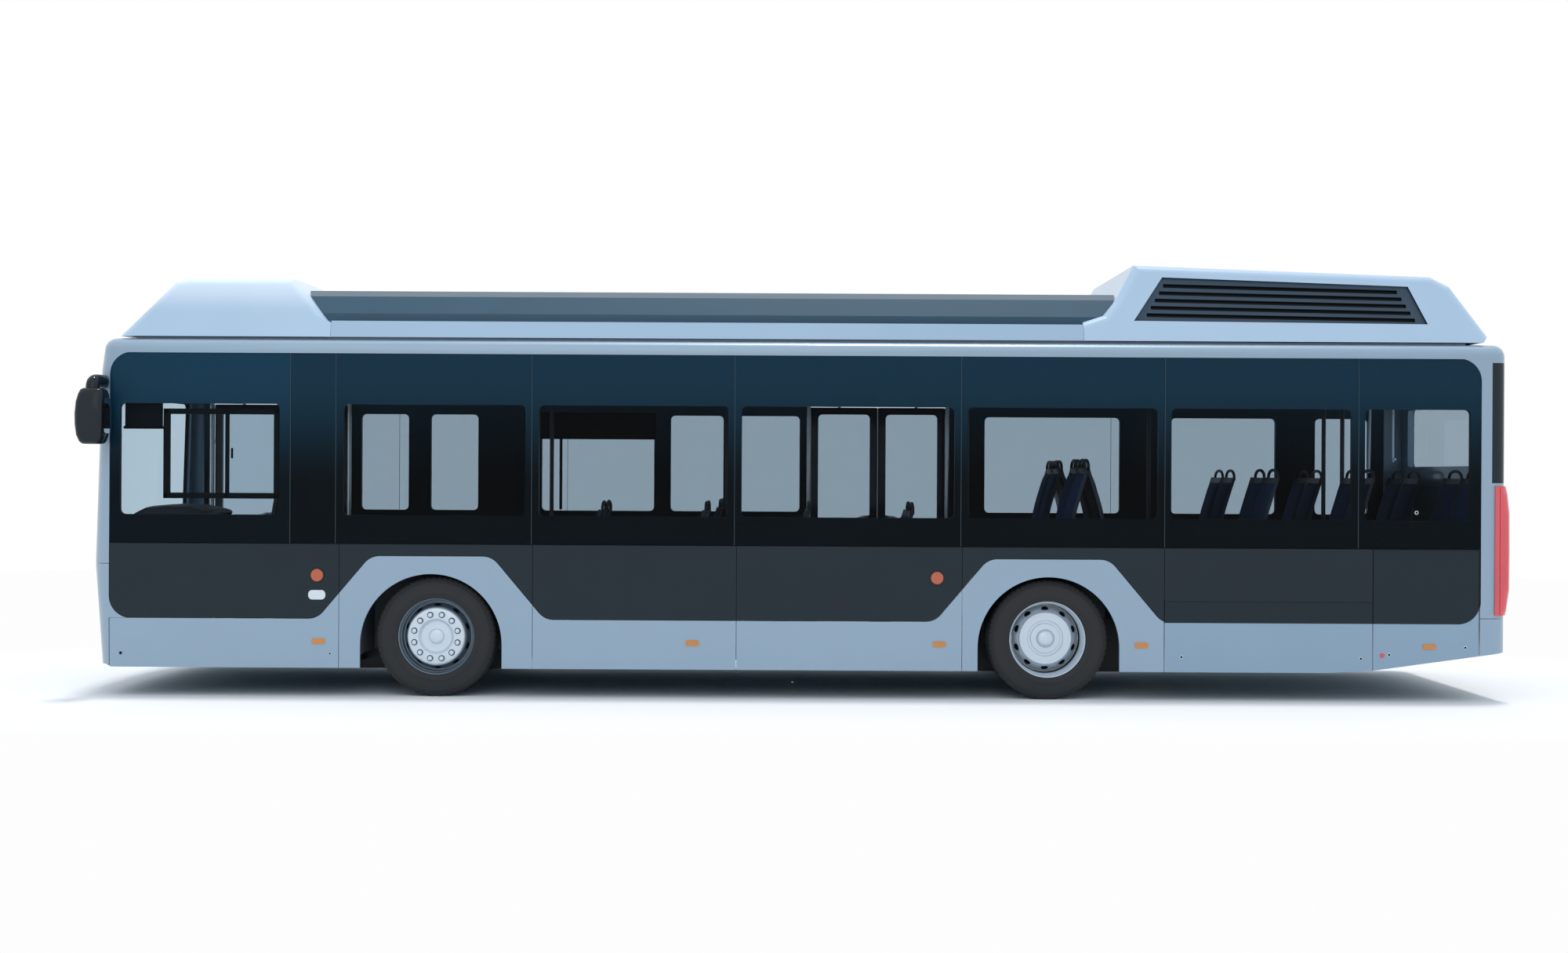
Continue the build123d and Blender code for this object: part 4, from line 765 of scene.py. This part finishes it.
def seats():
    line = seat_line(SEAT_LINE)
    cushion = simulated(pad_mesh(line[2:14], SEAT_WIDTH, 0.050))
    back = simulated(pad_mesh(line[18:-3], SEAT_WIDTH, 0.034))
    shells, cushions, backs, handles = Shape(), Shape(), Shape(), Shape()
    rows = [(x, side, *rest) for x, sides, *rest in SEAT_ROWS for side in sides]
    for x, side, seat_z, foot_z, way in rows:
        for place in (-0.5, 0.5):
            y = side * SEAT_Y + place * SEAT_PITCH
            closed_sheet(shells, seat_surface(line, x, y, seat_z, way, SEAT_WIDTH, shell_lift(0.012)),
                         seat_surface(line, x, y, seat_z, way, SEAT_WIDTH, shell_lift(-0.012)))
            cushions.sheet(cushion, x, y, seat_z, way)
            backs.sheet(back, x, y, seat_z, way)
            loop = []
            for step in range(25):
                bend = math.pi * step / 24
                rise = 0.628 + 0.085 * math.sin(bend)**0.6
                loop.append((x - way * 0.080, y - 0.15 * math.cos(bend), seat_z + rise))
            handles.tube(loop, 0.012, 10)
        stem = x + way * 0.14
        middle = side * SEAT_Y
        shells.box((stem - 0.11, middle - 0.38, seat_z - 0.105),
                   (stem + 0.11, middle + 0.38, seat_z - 0.078), 0.008)
        if seat_z - 0.12 > foot_z:
            shells.box((stem - 0.07, middle - 0.05, foot_z + 0.0005),
                       (stem + 0.07, middle + 0.05, seat_z - 0.10), 0.012)
    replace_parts(shells.piece("passenger_seat_shells", seat_shell), "passenger_seats")
    cushions.piece("passenger_seat_cushions", fabric, sharp=60)
    backs.piece("passenger_seat_backs", fabric, sharp=60)
    handles.piece("passenger_seat_handles", dark_plastic)


seats()


# Driver's seat: pedestal, bucket shell, arm rests and thick pads
DRIVER_Y = -0.70
DRIVER_LINE = (
    # forward of the back's foot, height over the seat
    (0.490, -0.100), (0.470, -0.070), (0.360, -0.075), (0.200, -0.086), (0.085, -0.075), (0.030, -0.030),
    (0.000, 0.060), (-0.022, 0.200), (-0.048, 0.380), (-0.074, 0.540), (-0.086, 0.615), (-0.090, 0.640),
)


def driver_place():
    line = seat_line(DRIVER_LINE)
    x, seat_z, width = -4.095, 1.010, 0.49
    shell, pads = Shape(), Shape()
    closed_sheet(shell, seat_surface(line, x, DRIVER_Y, seat_z, -1, width, shell_lift(0.016)),
                 seat_surface(line, x, DRIVER_Y, seat_z, -1, width, shell_lift(-0.016)))
    shell.box((-4.45, DRIVER_Y - 0.13, CAB_STEP_Z + 0.001), (-4.19, DRIVER_Y + 0.13, 0.60), 0.012)
    for step in range(5):
        low = 0.60 + 0.056 * step
        shell.box((-4.42, DRIVER_Y - 0.10, low), (-4.22, DRIVER_Y + 0.10, low + 0.052), 0.018)
    shell.box((-4.47, DRIVER_Y - 0.19, 0.882), (-4.17, DRIVER_Y + 0.19, 0.918), 0.010)
    for side in (-1, 1):
        shell.tube([(x + 0.07, DRIVER_Y + side * 0.252, 1.17), (x - 0.10, DRIVER_Y + side * 0.256, 1.175),
                    (x - 0.26, DRIVER_Y + side * 0.252, 1.185)], 0.019, 12)
    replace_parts(shell.piece("driver_seat_shell", seat_shell), "driver_seat")
    for part, thick in ((line[2:14], 0.062), (line[17:-2], 0.040)):
        pads.sheet(simulated(pad_mesh(part, width, thick)), x, DRIVER_Y, seat_z, -1)
    pads.piece("driver_seat_pads", fabric, sharp=60)


driver_place()


# Cab: dash hood, dials, frame of the driver's sliding window and a blind
def cab():
    hood = Shape()
    rows = []
    for y, sink, pull in ((-1.10, 0.05, 0.03), (-1.08, 0.012, 0.0), (-0.90, 0.0, 0.0), (-0.50, 0.0, 0.0),
                          (-0.28, 0.016, 0.02), (-0.24, 0.07, 0.06)):
        outline = ((-5.135, 1.112), (-5.150, 1.30 - sink), (-5.105, 1.405 - sink), (-5.020, 1.448 - sink),
                   (-4.860, 1.462 - sink), (-4.700 - pull, 1.455 - sink), (-4.560 - pull, 1.425 - sink),
                   (-4.545 - pull, 1.405 - sink), (-4.640 - pull, 1.385 - sink), (-4.800, 1.30 - sink),
                   (-4.872, 1.112))
        rows.append([(x, y, z) for x, z in outline])
    hood.grid(rows)
    hood.caps(rows)
    hood.piece("dash_hood", dark_plastic, sharp=40, bevel=0.006)

    dials = Shape()
    for y, radius in ((-0.84, 0.055), (-0.70, 0.040), (-0.56, 0.055)):
        spin = Matrix.Translation((-4.802, y, 1.325)) @ Matrix.Rotation(math.radians(-42), 4, "Y")
        ring = []
        for share, out in ((0.0, 0.002), (0.86, 0.002), (0.9, 0.006), (1.0, 0.006), (1.0, -0.02)):
            reach = radius * share
            ring.append([spin @ Vector((out, reach * math.cos(turn), reach * math.sin(turn)))
                         for turn in [2 * math.pi * step / 32 for step in range(32)]])
        dials.grid(ring, False, True)
    dials.piece("instrument_dials", black_gloss)

    window = Shape()
    inner_y, outer_y = -HALF_WIDTH + 0.062, -HALF_WIDTH + 0.018
    for x, z in (((-4.836, -4.790), (1.512, 2.200)), ((-3.990, -3.948), (1.512, 2.200)),
                 ((-4.836, -3.948), (1.512, 1.556)), ((-4.836, -3.948), (2.158, 2.200)),
                 ((-4.362, -4.338), (1.512, 2.200))):
        window.box((x[0], outer_y, z[0]), (x[1], inner_y, z[1]), 0.005)
    window.box((-4.330, inner_y, 1.82), (-4.316, inner_y + 0.02, 1.90), 0.004)
    window.piece("driver_window_frame", dark_frame)

    blind = Shape()
    blind.box((-5.15, -1.17, 2.06), (-4.86, -1.16, 2.42), 0.003)
    blind.tube([(-5.16, -1.165, 2.055), (-4.85, -1.165, 2.055)], 0.011)
    blind.piece("driver_blind", dark_frame)


cab()


# Saloon fittings: ceiling rails, wall rails, a hopper panel and ceiling lights
def saloon():
    rails = Shape()
    for side in (-1, 1):
        y = side * 0.43
        top = CEILING_Z - 0.002
        rear_y = y * 0.75
        path = [(-3.2, y, top), (-3.16, y, 2.46), (-3.05, y, 2.42), (1.15, y, 2.42), (1.45, y, 2.43),
                (4.55, rear_y, 2.47), (4.62, rear_y, 2.50), (4.65, rear_y, top)]
        rails.tube(smooth(path), 0.016, 12)
        for x, share in ((-2.20, 1.0), (-0.30, 1.0), (1.10, 1.0), (2.90, 0.88)):
            rails.tube([(x, y * share, 2.435), (x, y * share, top)], 0.012, 10)
    rails.piece("saloon_rails", steel)
    rails = Shape()
    rails.tube([(4.487, -0.95, 1.755), (4.50, -0.95, CEILING_Z - 0.002)], 0.010, 10)
    rails.tube(smooth([(4.62, -1.192, 1.86), (4.62, -1.15, 1.862), (4.62, -1.13, 1.90), (4.62, -1.13, 2.50),
                       (4.62, -1.15, 2.54), (4.62, -1.192, 2.545)]), 0.008, 10)
    rails.piece("tail_rails", white_lens)

    panel = Shape()
    inside = HALF_WIDTH - WALL
    panel.box((-2.245, inside - 0.016, 2.025), (-1.225, inside - 0.002, 2.262), 0.004)
    panel.box((-2.075, inside - 0.018, 1.40), (-2.050, inside - 0.002, 2.03), 0.004)
    panel.piece("window_hopper", dark_frame)

    lights = Shape()
    for side in (-1, 1):
        for number in range(7):
            x = -3.5 + 1.2 * number
            lights.box((x, side * 0.68 - 0.07, CEILING_Z - 0.036),
                       (x + 1.02, side * 0.68 + 0.07, CEILING_Z - 0.002), 0.014)
    lights.piece("ceiling_lights", white_lens)


saloon()


# Mirrors: rounded heads on a swept arm, with a flat glass facing the tail
MIRROR_RINGS = (
    # z, x from, x to, half width
    (1.921, -5.375, -5.255, 0.050), (1.925, -5.388, -5.240, 0.074), (1.942, -5.404, -5.226, 0.094),
    (1.990, -5.424, -5.214, 0.107), (2.070, -5.434, -5.207, 0.113), (2.150, -5.436, -5.205, 0.114),
    (2.240, -5.428, -5.206, 0.110), (2.300, -5.412, -5.210, 0.101), (2.332, -5.398, -5.220, 0.086),
    (2.345, -5.380, -5.240, 0.060),
)
MIRROR_ARM = ((-5.318, 1.405, 2.330), (-5.316, 1.398, 2.378), (-5.312, 1.370, 2.398), (-5.306, 1.320, 2.402),
              (-5.302, 1.260, 2.402), (-5.298, 1.205, 2.402))
MIRROR_MIDDLE_Y = 1.405
MIRROR_GLASS_X = -5.2052
MIRROR_GLASS_Z = 2.138


def superellipse(half_x, half_y, power, steps=40):
    ring = []
    for step in range(steps):
        turn = 2 * math.pi * step / steps
        c, s = math.cos(turn), math.sin(turn)
        ring.append((half_x * math.copysign(abs(c)**power, c), half_y * math.copysign(abs(s)**power, s)))
    return ring


def mirrors():
    heads, plates = Shape(), Shape()
    for side in (-1, 1):
        rows = []
        for z, x0, x1, half in MIRROR_RINGS:
            middle = (x0 + x1) / 2
            ring = superellipse((x1 - x0) / 2, half, 0.55)
            rows.append([(middle + a, side * (MIRROR_MIDDLE_Y + b), z) for a, b in ring])
        heads.grid(rows, False, True)
        heads.caps(rows)
        arm = smooth([(x, side * y, z) for x, y, z in MIRROR_ARM])
        heads.tube(arm, 0.052, 24)
        for shift, grow in ((0.0, 0.9), (0.0012, 0.88)):
            ring = superellipse(0.150 * grow, 0.098 * grow, 0.42)
            x = MIRROR_GLASS_X + shift
            plates.add([(x, side * (MIRROR_MIDDLE_Y + b), MIRROR_GLASS_Z + a) for a, b in ring],
                       [tuple(range(len(ring)))])
    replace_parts(heads.piece("mirror_heads", mirror_shell, sharp=50), "mirrors")
    plates.piece("mirror_glasses", reflector)


mirrors()


# Small outside fittings: quarter-turn locks, skirt fasteners, flap markers and lamp bezels
FITTINGS = (
    # x, z, radius, material, body after the side's word, on both sides
    (2.970, 0.337, 0.014, rim_metal, "side_flap", True),
    (4.344, 0.332, 0.014, rim_metal, "side_flap", True),
    (4.560, 0.363, 0.014, rim_metal, "corner_flap", True),
    (5.142, 0.420, 0.014, rim_metal, "corner_flap", True),
    (4.764, 1.451, 0.015, rim_metal, None, False),
    (-5.148, 0.328, 0.012, dark_metal, None, False),
    (-3.546, 0.331, 0.012, rim_metal, None, True),
)
STUD = ((0.62, 0.0010), (0.66, 0.0042), (0.88, 0.0040), (1.0, 0.0022), (1.0, -0.001))
STUD_KEY = ((0.0, 0.0024), (0.24, 0.0024), (0.30, 0.0010), (0.62, 0.0010))
REFLECTOR_DOT = ((0.0, 0.004), (0.016, 0.0035), (0.019, 0.001), (0.019, -0.001))
BEZEL = ((0.049, 0.0), (0.0492, 0.007), (0.052, 0.0085), (0.0555, 0.007), (0.057, 0.0005))
ROUND_LAMPS = ((-3.648, 0.930), (1.098, 0.932))
CLEAR_LAMP_Z = 0.780


def fittings():
    for word, side in SIDES:
        for number, (x, z, radius, material, rider, both) in enumerate(FITTINGS, 1):
            if side > 0 and not both:
                continue
            stud, key = Shape(), Shape()
            place = (x, HALF_WIDTH, z)
            for shape, profile in ((stud, STUD), (key, STUD_KEY)):
                shape.lathe([(radius * share, out) for share, out in profile], 24, place, side)
            body = f"{word}_{rider}" if rider else "body"
            stud.piece(f"{word}_fastener_{number}", material, body)
            key.piece(f"{word}_fastener_key_{number}", dark_frame, body)
        marker, bezel = Shape(), Shape()
        loop = rounded((4.816, 4.916), (0.404, 0.446), 0.012)
        marker.plate(loop, side * (HALF_WIDTH + 0.0005), side * (HALF_WIDTH + 0.0065))
        marker.piece(word + "_flap_marker", amber_lens, word + "_corner_flap", 32, 0.002)
        dot = Shape()
        dot.lathe(REFLECTOR_DOT, 24, (4.506, HALF_WIDTH, 0.357), side)
        dot.piece(word + "_flap_reflector", red_lens, word + "_corner_flap")
        for x, z in ROUND_LAMPS:
            if side > 0 and x > 0:
                continue
            bezel.lathe(BEZEL, 40, (x, HALF_WIDTH, z), side)
        bezel.piece(word + "_lamp_bezels", seal)


fittings()
dress("side_lamps", amber_lens, white_lens, red_amber_lens)
for face in nodes["side_lamps"].data.polygons:
    at_x, _, at_z = face.center
    near_clear = abs(at_x - ROUND_LAMPS[0][0]) < 0.08 and abs(at_z - CLEAR_LAMP_Z) < 0.05
    near_round = any(abs(at_x - x) < 0.06 and abs(at_z - z) < 0.06 for x, z in ROUND_LAMPS)
    face.material_index = 1 if near_clear else 2 if near_round else 0


# Sealant strips in the gaps between the side panes
PANE_JOINTS_X = (-3.858, -3.510, -2.010, -0.456, 1.278, 2.838, 4.320)


def glass_joints():
    strips = Shape()
    for side in (-1, 1):
        for x in PANE_JOINTS_X:
            foot = PANE_Z[0] + 0.003
            if side > 0 and abs(x - DOOR_CENTRES_X[1]) < DOOR_WIDTH / 2:
                foot = LEAF_Z[1] + 0.036
            y0, y1 = sorted((side * (HALF_WIDTH - 0.0055), side * (HALF_WIDTH - 0.0010)))
            strips.box((x - 0.0016, y0, foot), (x + 0.0016, y1, PANE_Z[1] - 0.003), 0.0004)
    strips.piece("glass_joints", joint_seal)


glass_joints()


# Roof grille: slate panel in the recess; slot walls, rolled lips and a dark sheet behind the slots are near
# black as painted shade
GRILLE = ((2.612, 2.916), (2.846, 3.262), (4.745, 3.198), (4.875, 2.900))
GRILLE_SHADE_SHEET = ((2.690, 2.938), (2.822, 3.222), (4.694, 3.180), (4.806, 2.908))
GRILLE_SLOTS = 5
SLOT_ENDS = (
    # x and z at the front end, x and z at the rear end
    (2.718, 2.964, 4.782, 2.932),
    (2.856, 3.196, 4.662, 3.154),
)
SLOT_HALF = 0.012
RECESS_LEAN = 0.29
RECESS_FOOT = 1.9763


def in_grille(x, z):
    inside = False
    for (x0, z0), (x1, z1) in zip(GRILLE, GRILLE[1:] + GRILLE[:1]):
        if (z0 > z) != (z1 > z) and x < (x1 - x0) * (z - z0) / (z1 - z0) + x0:
            inside = not inside
    return inside


def grille():
    dress("rear_roof_pod", pale_painted_light, grille_slate, dark_frame)
    # Recess faces that don't face outward, the slot walls among them, are near black: painted shade
    for face in nodes["rear_roof_pod"].data.polygons:
        if abs(face.center.y) > 0.8 and in_grille(face.center.x, face.center.z):
            face.material_index = 1 if abs(face.normal.y) > 0.6 else 2
    lips, shade_sheet = Shape(), Shape()
    for side in (-1, 1):
        for number in range(GRILLE_SLOTS):
            share = number / (GRILLE_SLOTS - 1)
            x0, z0, x1, z1 = [low + share * (high - low) for low, high in zip(*SLOT_ENDS)]
            corners = ((x0, z0 - SLOT_HALF), (x1, z1 - SLOT_HALF), (x1, z1 + SLOT_HALF), (x0, z0 + SLOT_HALF))
            loop = [(x, side * (RECESS_FOOT - RECESS_LEAN * z), z) for x, z in corners]
            for start, end in zip(loop, loop[1:] + loop[:1]):
                lips.tube([start, end], 0.0030, 8)
        # A near-black sheet behind the slots: painted shade inside the pod
        near, far = [[(x, side * (RECESS_FOOT - RECESS_LEAN * z - depth), z) for x, z in GRILLE_SHADE_SHEET]
                     for depth in (0.0135, 0.0165)]
        shade_sheet.grid([near, far], False, True)
        for loop in (near, far):
            shade_sheet.add(loop, [(0, 1, 2, 3)])
    # The lips are near black too, as painted shade
    lips.piece("grille_lips", dark_frame)
    shade_sheet.piece("grille_shade_sheet", dark_frame)


grille()


# Wheel arches: inner splash panels that close the view across the bus
SPLASH = (
    # axle's x, reach ahead, reach behind, half gap at the axle, top
    (FRONT_AXLE_X, 0.80, 0.64, 0.12, 0.309),
    (REAR_AXLE_X, 0.53, 0.68, 0.15, 0.588),
)


def splash_panels():
    panels = Shape()
    for side in (-1, 1):
        for axle_x, ahead, behind, half, top in SPLASH:
            for x0, x1 in ((axle_x - ahead, axle_x - half), (axle_x + half, axle_x + behind)):
                y0, y1 = sorted((side * 0.502, side * 0.514))
                panels.box((x0, y0, 0.150), (x1, y1, top), 0.004)
    panels.piece("splash_panels", chassis)


splash_panels()


# Nose: wipers, lamp units and daylight strips
NOSE_X = -5.447
WIPER_REST_Z = 1.235
WIPER_CAP = ((0.0, 0.030), (0.012, 0.029), (0.021, 0.024), (0.024, 0.014), (0.024, -0.006))
LAMP_BOWL = ((0.040, -0.012), (0.048, 0.004), (0.056, 0.014), (0.061, 0.016), (0.064, 0.012), (0.065, -0.012))
LAMP_LENS = ((0.0, 0.012), (0.012, 0.0112), (0.024, 0.008), (0.034, 0.002), (0.040, -0.008))
LAMP_Z = 0.716
STRIP_Z = 0.796


def screen_x(y, z):
    return NOSE_X + 0.0505 * y**2 + 0.026 * (z - 1.2)


def wipers():
    arms, blades = Shape(), Shape()
    rest_z = WIPER_REST_Z
    for pivot_y, tip_y in ((-0.62, 0.10), (0.12, 0.84)):
        pivot = (screen_x(pivot_y, 1.09) - 0.014, pivot_y, 1.085)
        spans = (pivot_y + 0.16, (pivot_y + tip_y) / 2 + 0.10)
        reach = [(screen_x(y, rest_z) - 0.026, y, rest_z + 0.012) for y in spans]
        knee = ((pivot[0] + reach[0][0]) / 2 - 0.01, pivot_y + 0.07, 1.165)
        arms.tube(smooth([pivot, knee, *reach]), 0.008, 10)
        arms.disc(WIPER_CAP, 24, Matrix.Translation(pivot) @ Matrix.Rotation(math.radians(90), 4, "Z"))
        line = [pivot_y + 0.02 + (tip_y - pivot_y) * k / 14 for k in range(15)]
        blades.tube([(screen_x(y, rest_z) - 0.013, y, rest_z) for y in line], 0.0062, 8)
        blades.tube([(screen_x(y, rest_z) - 0.019, y, rest_z + 0.004) for y in line[4:11]], 0.0075, 8)
    arms.piece("wiper_arms", dark_metal)
    blades.piece("wiper_blades", seal)


def lamp_x(y):
    return NOSE_X + 0.052 * y**2 + 0.004


def lamp_units():
    bowls, lenses, strips = Shape(), Shape(), Shape()
    for side in (-1, 1):
        for y in (0.735, 0.880, 1.020):
            place = Matrix.Translation((lamp_x(y) + 0.026, side * y, LAMP_Z))
            spot = place @ Matrix.Rotation(math.radians(90), 4, "Z")
            bowls.disc(LAMP_BOWL, 40, spot)
            lenses.disc(LAMP_LENS, 32, spot)
        line = [0.675 + 0.0205 * k for k in range(21)]
        strips.tube([(lamp_x(y) + 0.016, side * y, STRIP_Z) for y in line], 0.0065, 10)
    bowls.piece("headlamp_bowls", reflector)
    lenses.piece("headlamp_projectors", black_gloss)
    strips.piece("daylight_strips", white_lens)


wipers()
lamp_units()


# Tail lamps: a faceted cover that swells past the wall, with round units in dark bezels
TAIL_FACE_X = 5.480
TAIL_FLAT_Y = (1.020, 1.140)
TAIL_CORNER_R = 0.128
TAIL_SWELL = (
    # height, how far the cover stands out
    (0.672, 0.000), (0.700, 0.006), (0.860, 0.028), (1.160, 0.030), (1.450, 0.028), (1.600, 0.012),
    (1.652, 0.000),
)
TAIL_UNITS = (
    # height, lens
    (1.375, "amber"), (1.225, "red"), (1.075, "red"), (0.925, "white"),
)
TAIL_UNIT_Y = 1.085
TAIL_RING = ((0.052, 0.0005), (0.053, 0.0025), (0.058, 0.0035), (0.062, 0.0025), (0.064, -0.003))
TAIL_DOME = ((0.0, 0.0035), (0.014, 0.0033), (0.030, 0.0028), (0.044, 0.0016), (0.052, 0.0005))


def tail_profile():
    steps = 12
    inner, outer = TAIL_FLAT_Y
    line = [(TAIL_FACE_X, inner + (outer - inner) * k / 6, (1.0, 0.0)) for k in range(6)]
    for k in range(steps + 1):
        turn = math.radians(66 * k / steps)
        out = (math.cos(turn), math.sin(turn))
        line.append((TAIL_FACE_X + TAIL_CORNER_R * (out[0] - 1), outer + TAIL_CORNER_R * out[1], out))
    return line


def tail_units():
    cover, bezels = Shape(), Shape()
    lenses = {"amber": Shape(), "red": Shape(), "white": Shape()}
    line = tail_profile()
    for side in (-1, 1):
        rows = []
        for z, swell in TAIL_SWELL:
            row = []
            for k, (x, y, out) in enumerate(line):
                share = min(1.0, k / 0.8, (len(line) - 1 - k) / 5)
                row.append((x + swell * share * out[0], side * (y + swell * share * out[1]), z))
            rows.append(row)
        cover.grid(rows)
        for z, color in TAIL_UNITS:
            place = (TAIL_FACE_X + 0.0295, side * TAIL_UNIT_Y, z)
            spot = Matrix.Translation(place) @ Matrix.Rotation(math.radians(-90), 4, "Z")
            bezels.disc(TAIL_RING, 48, spot)
            lenses[color].disc(TAIL_DOME, 48, spot)
    cover.piece("tail_lamp_covers", red_lens, sharp=4)
    bezels.piece("tail_lamp_bezels", dark_plastic)
    for color, material in (("amber", amber_lens), ("red", deep_red_lens), ("white", white_lens)):
        lenses[color].piece(f"tail_lamp_{color}", material)


tail_units()


# Studio: diffuse light comes from a sky, and camera, reflections and glass see plain white
SKY = (
    # height from straight down to straight up, colour
    (0.0, (0.50, 0.50, 0.50)), (0.490, (0.06, 0.08, 0.09)), (0.503, (0.03, 0.08, 0.11)),
    (0.516, (0.14, 0.43, 0.63)), (0.531, (0.22, 0.68, 1.0)), (0.60, (0.62, 0.78, 0.95)),
    (1.0, (0.95, 1.0, 1.05)),
)
FLOOR_REACH = (0.01, 22.0)
FLOOR_CORE_X = 5.45
FLOOR_FADE = (0.15, 2.4)
LAMPS = (
    # name, kind, place, angle or size, power, colour
    ("key", "SUN", (0.6, 0.9, 11.0), math.radians(7), 1.25, (1.0, 0.99, 0.97)),
    ("fill", "AREA", (-3.0, -10.0, 7.0), 8.0, 105.0, (0.95, 0.98, 1.0)),
)
LAMP_AIM = Vector((0, 0, 1.2))


def studio():
    scene = bpy.context.scene
    scene.view_settings.view_transform = "Standard"
    world = bpy.data.worlds.new("studio")
    scene.world = world
    net = Net(world)
    ramp = net.add("ValToRGB")
    net.put(net.math("MULTIPLY_ADD", net.axes("Generated")["Z"], 0.5, 0.5), ramp.inputs["Fac"])
    for number, (at, color) in enumerate(SKY):
        stop = ramp.color_ramp.elements[number] if number < 2 else ramp.color_ramp.elements.new(at)
        stop.position = at
        stop.color = (*color, 1.0)
    rays = net.add("LightPath").outputs
    seen = rays["Is Camera Ray"]
    for kind in ("Is Glossy Ray", "Is Transmission Ray"):
        seen = net.math("MAXIMUM", seen, rays[kind])
    net.put(net.color_mix(seen, ramp.outputs["Color"], WHITE), net.nodes["Background"].inputs["Color"])

    ground = Shape()
    turns = [math.pi * k / 48 for k in range(96)]
    ground.grid([[(reach * math.cos(turn), reach * math.sin(turn), 0.0) for turn in turns]
                 for reach in FLOOR_REACH], False, True)
    mesh = bpy.data.meshes.new("studio_floor")
    mesh.from_pydata(ground.points, [], ground.faces)
    floor = placed("studio_floor", mesh)
    mesh.materials.append(floor_finish())

    for name, kind, spot, spread, power, color in LAMPS:
        light = bpy.data.lights.new(name, kind)
        if kind == "SUN":
            light.angle = spread
        else:
            light.size = spread
        light.energy = power
        light.color = color
        lamp = placed(name, light)
        lamp.location = spot
        lamp.rotation_euler = (LAMP_AIM - Vector(spot)).to_track_quat("-Z", "Y").to_euler()

    lens = bpy.data.cameras.new("camera")
    lens.sensor_width = 36.0
    lens.lens = 45.0
    camera = placed("camera", lens)
    camera.location = (-0.078, -16.25, 1.703)
    camera.rotation_euler = (math.radians(90), math.radians(-0.3), 0)
    scene.camera = camera


# Pale floor: takes the shadow close to the bus and fades into the plain white further out
def floor_finish():
    material, net = new_material("studio_floor")
    net.nodes.remove(net.nodes["Principled BSDF"])
    axes = net.axes()
    past = []
    for axis, half in (("X", FLOOR_CORE_X), ("Y", HALF_WIDTH)):
        past.append(net.math("SUBTRACT", net.math("ABSOLUTE", axes[axis]), half))
    reach = net.math("SQRT", net.overreach(*past))
    matt = net.add("BsdfDiffuse")
    net.put((0.90, 0.885, 0.875), matt.inputs["Color"])
    bright = net.add("Emission")
    net.put((0.985, 0.985, 0.995), bright.inputs["Color"])
    share = net.smooth_share(reach, *FLOOR_FADE)
    ground = net.shader_mix(share, matt.outputs[0], bright.outputs[0])
    net.put(ground, net.nodes["Material Output"].inputs["Surface"])
    return material


studio()
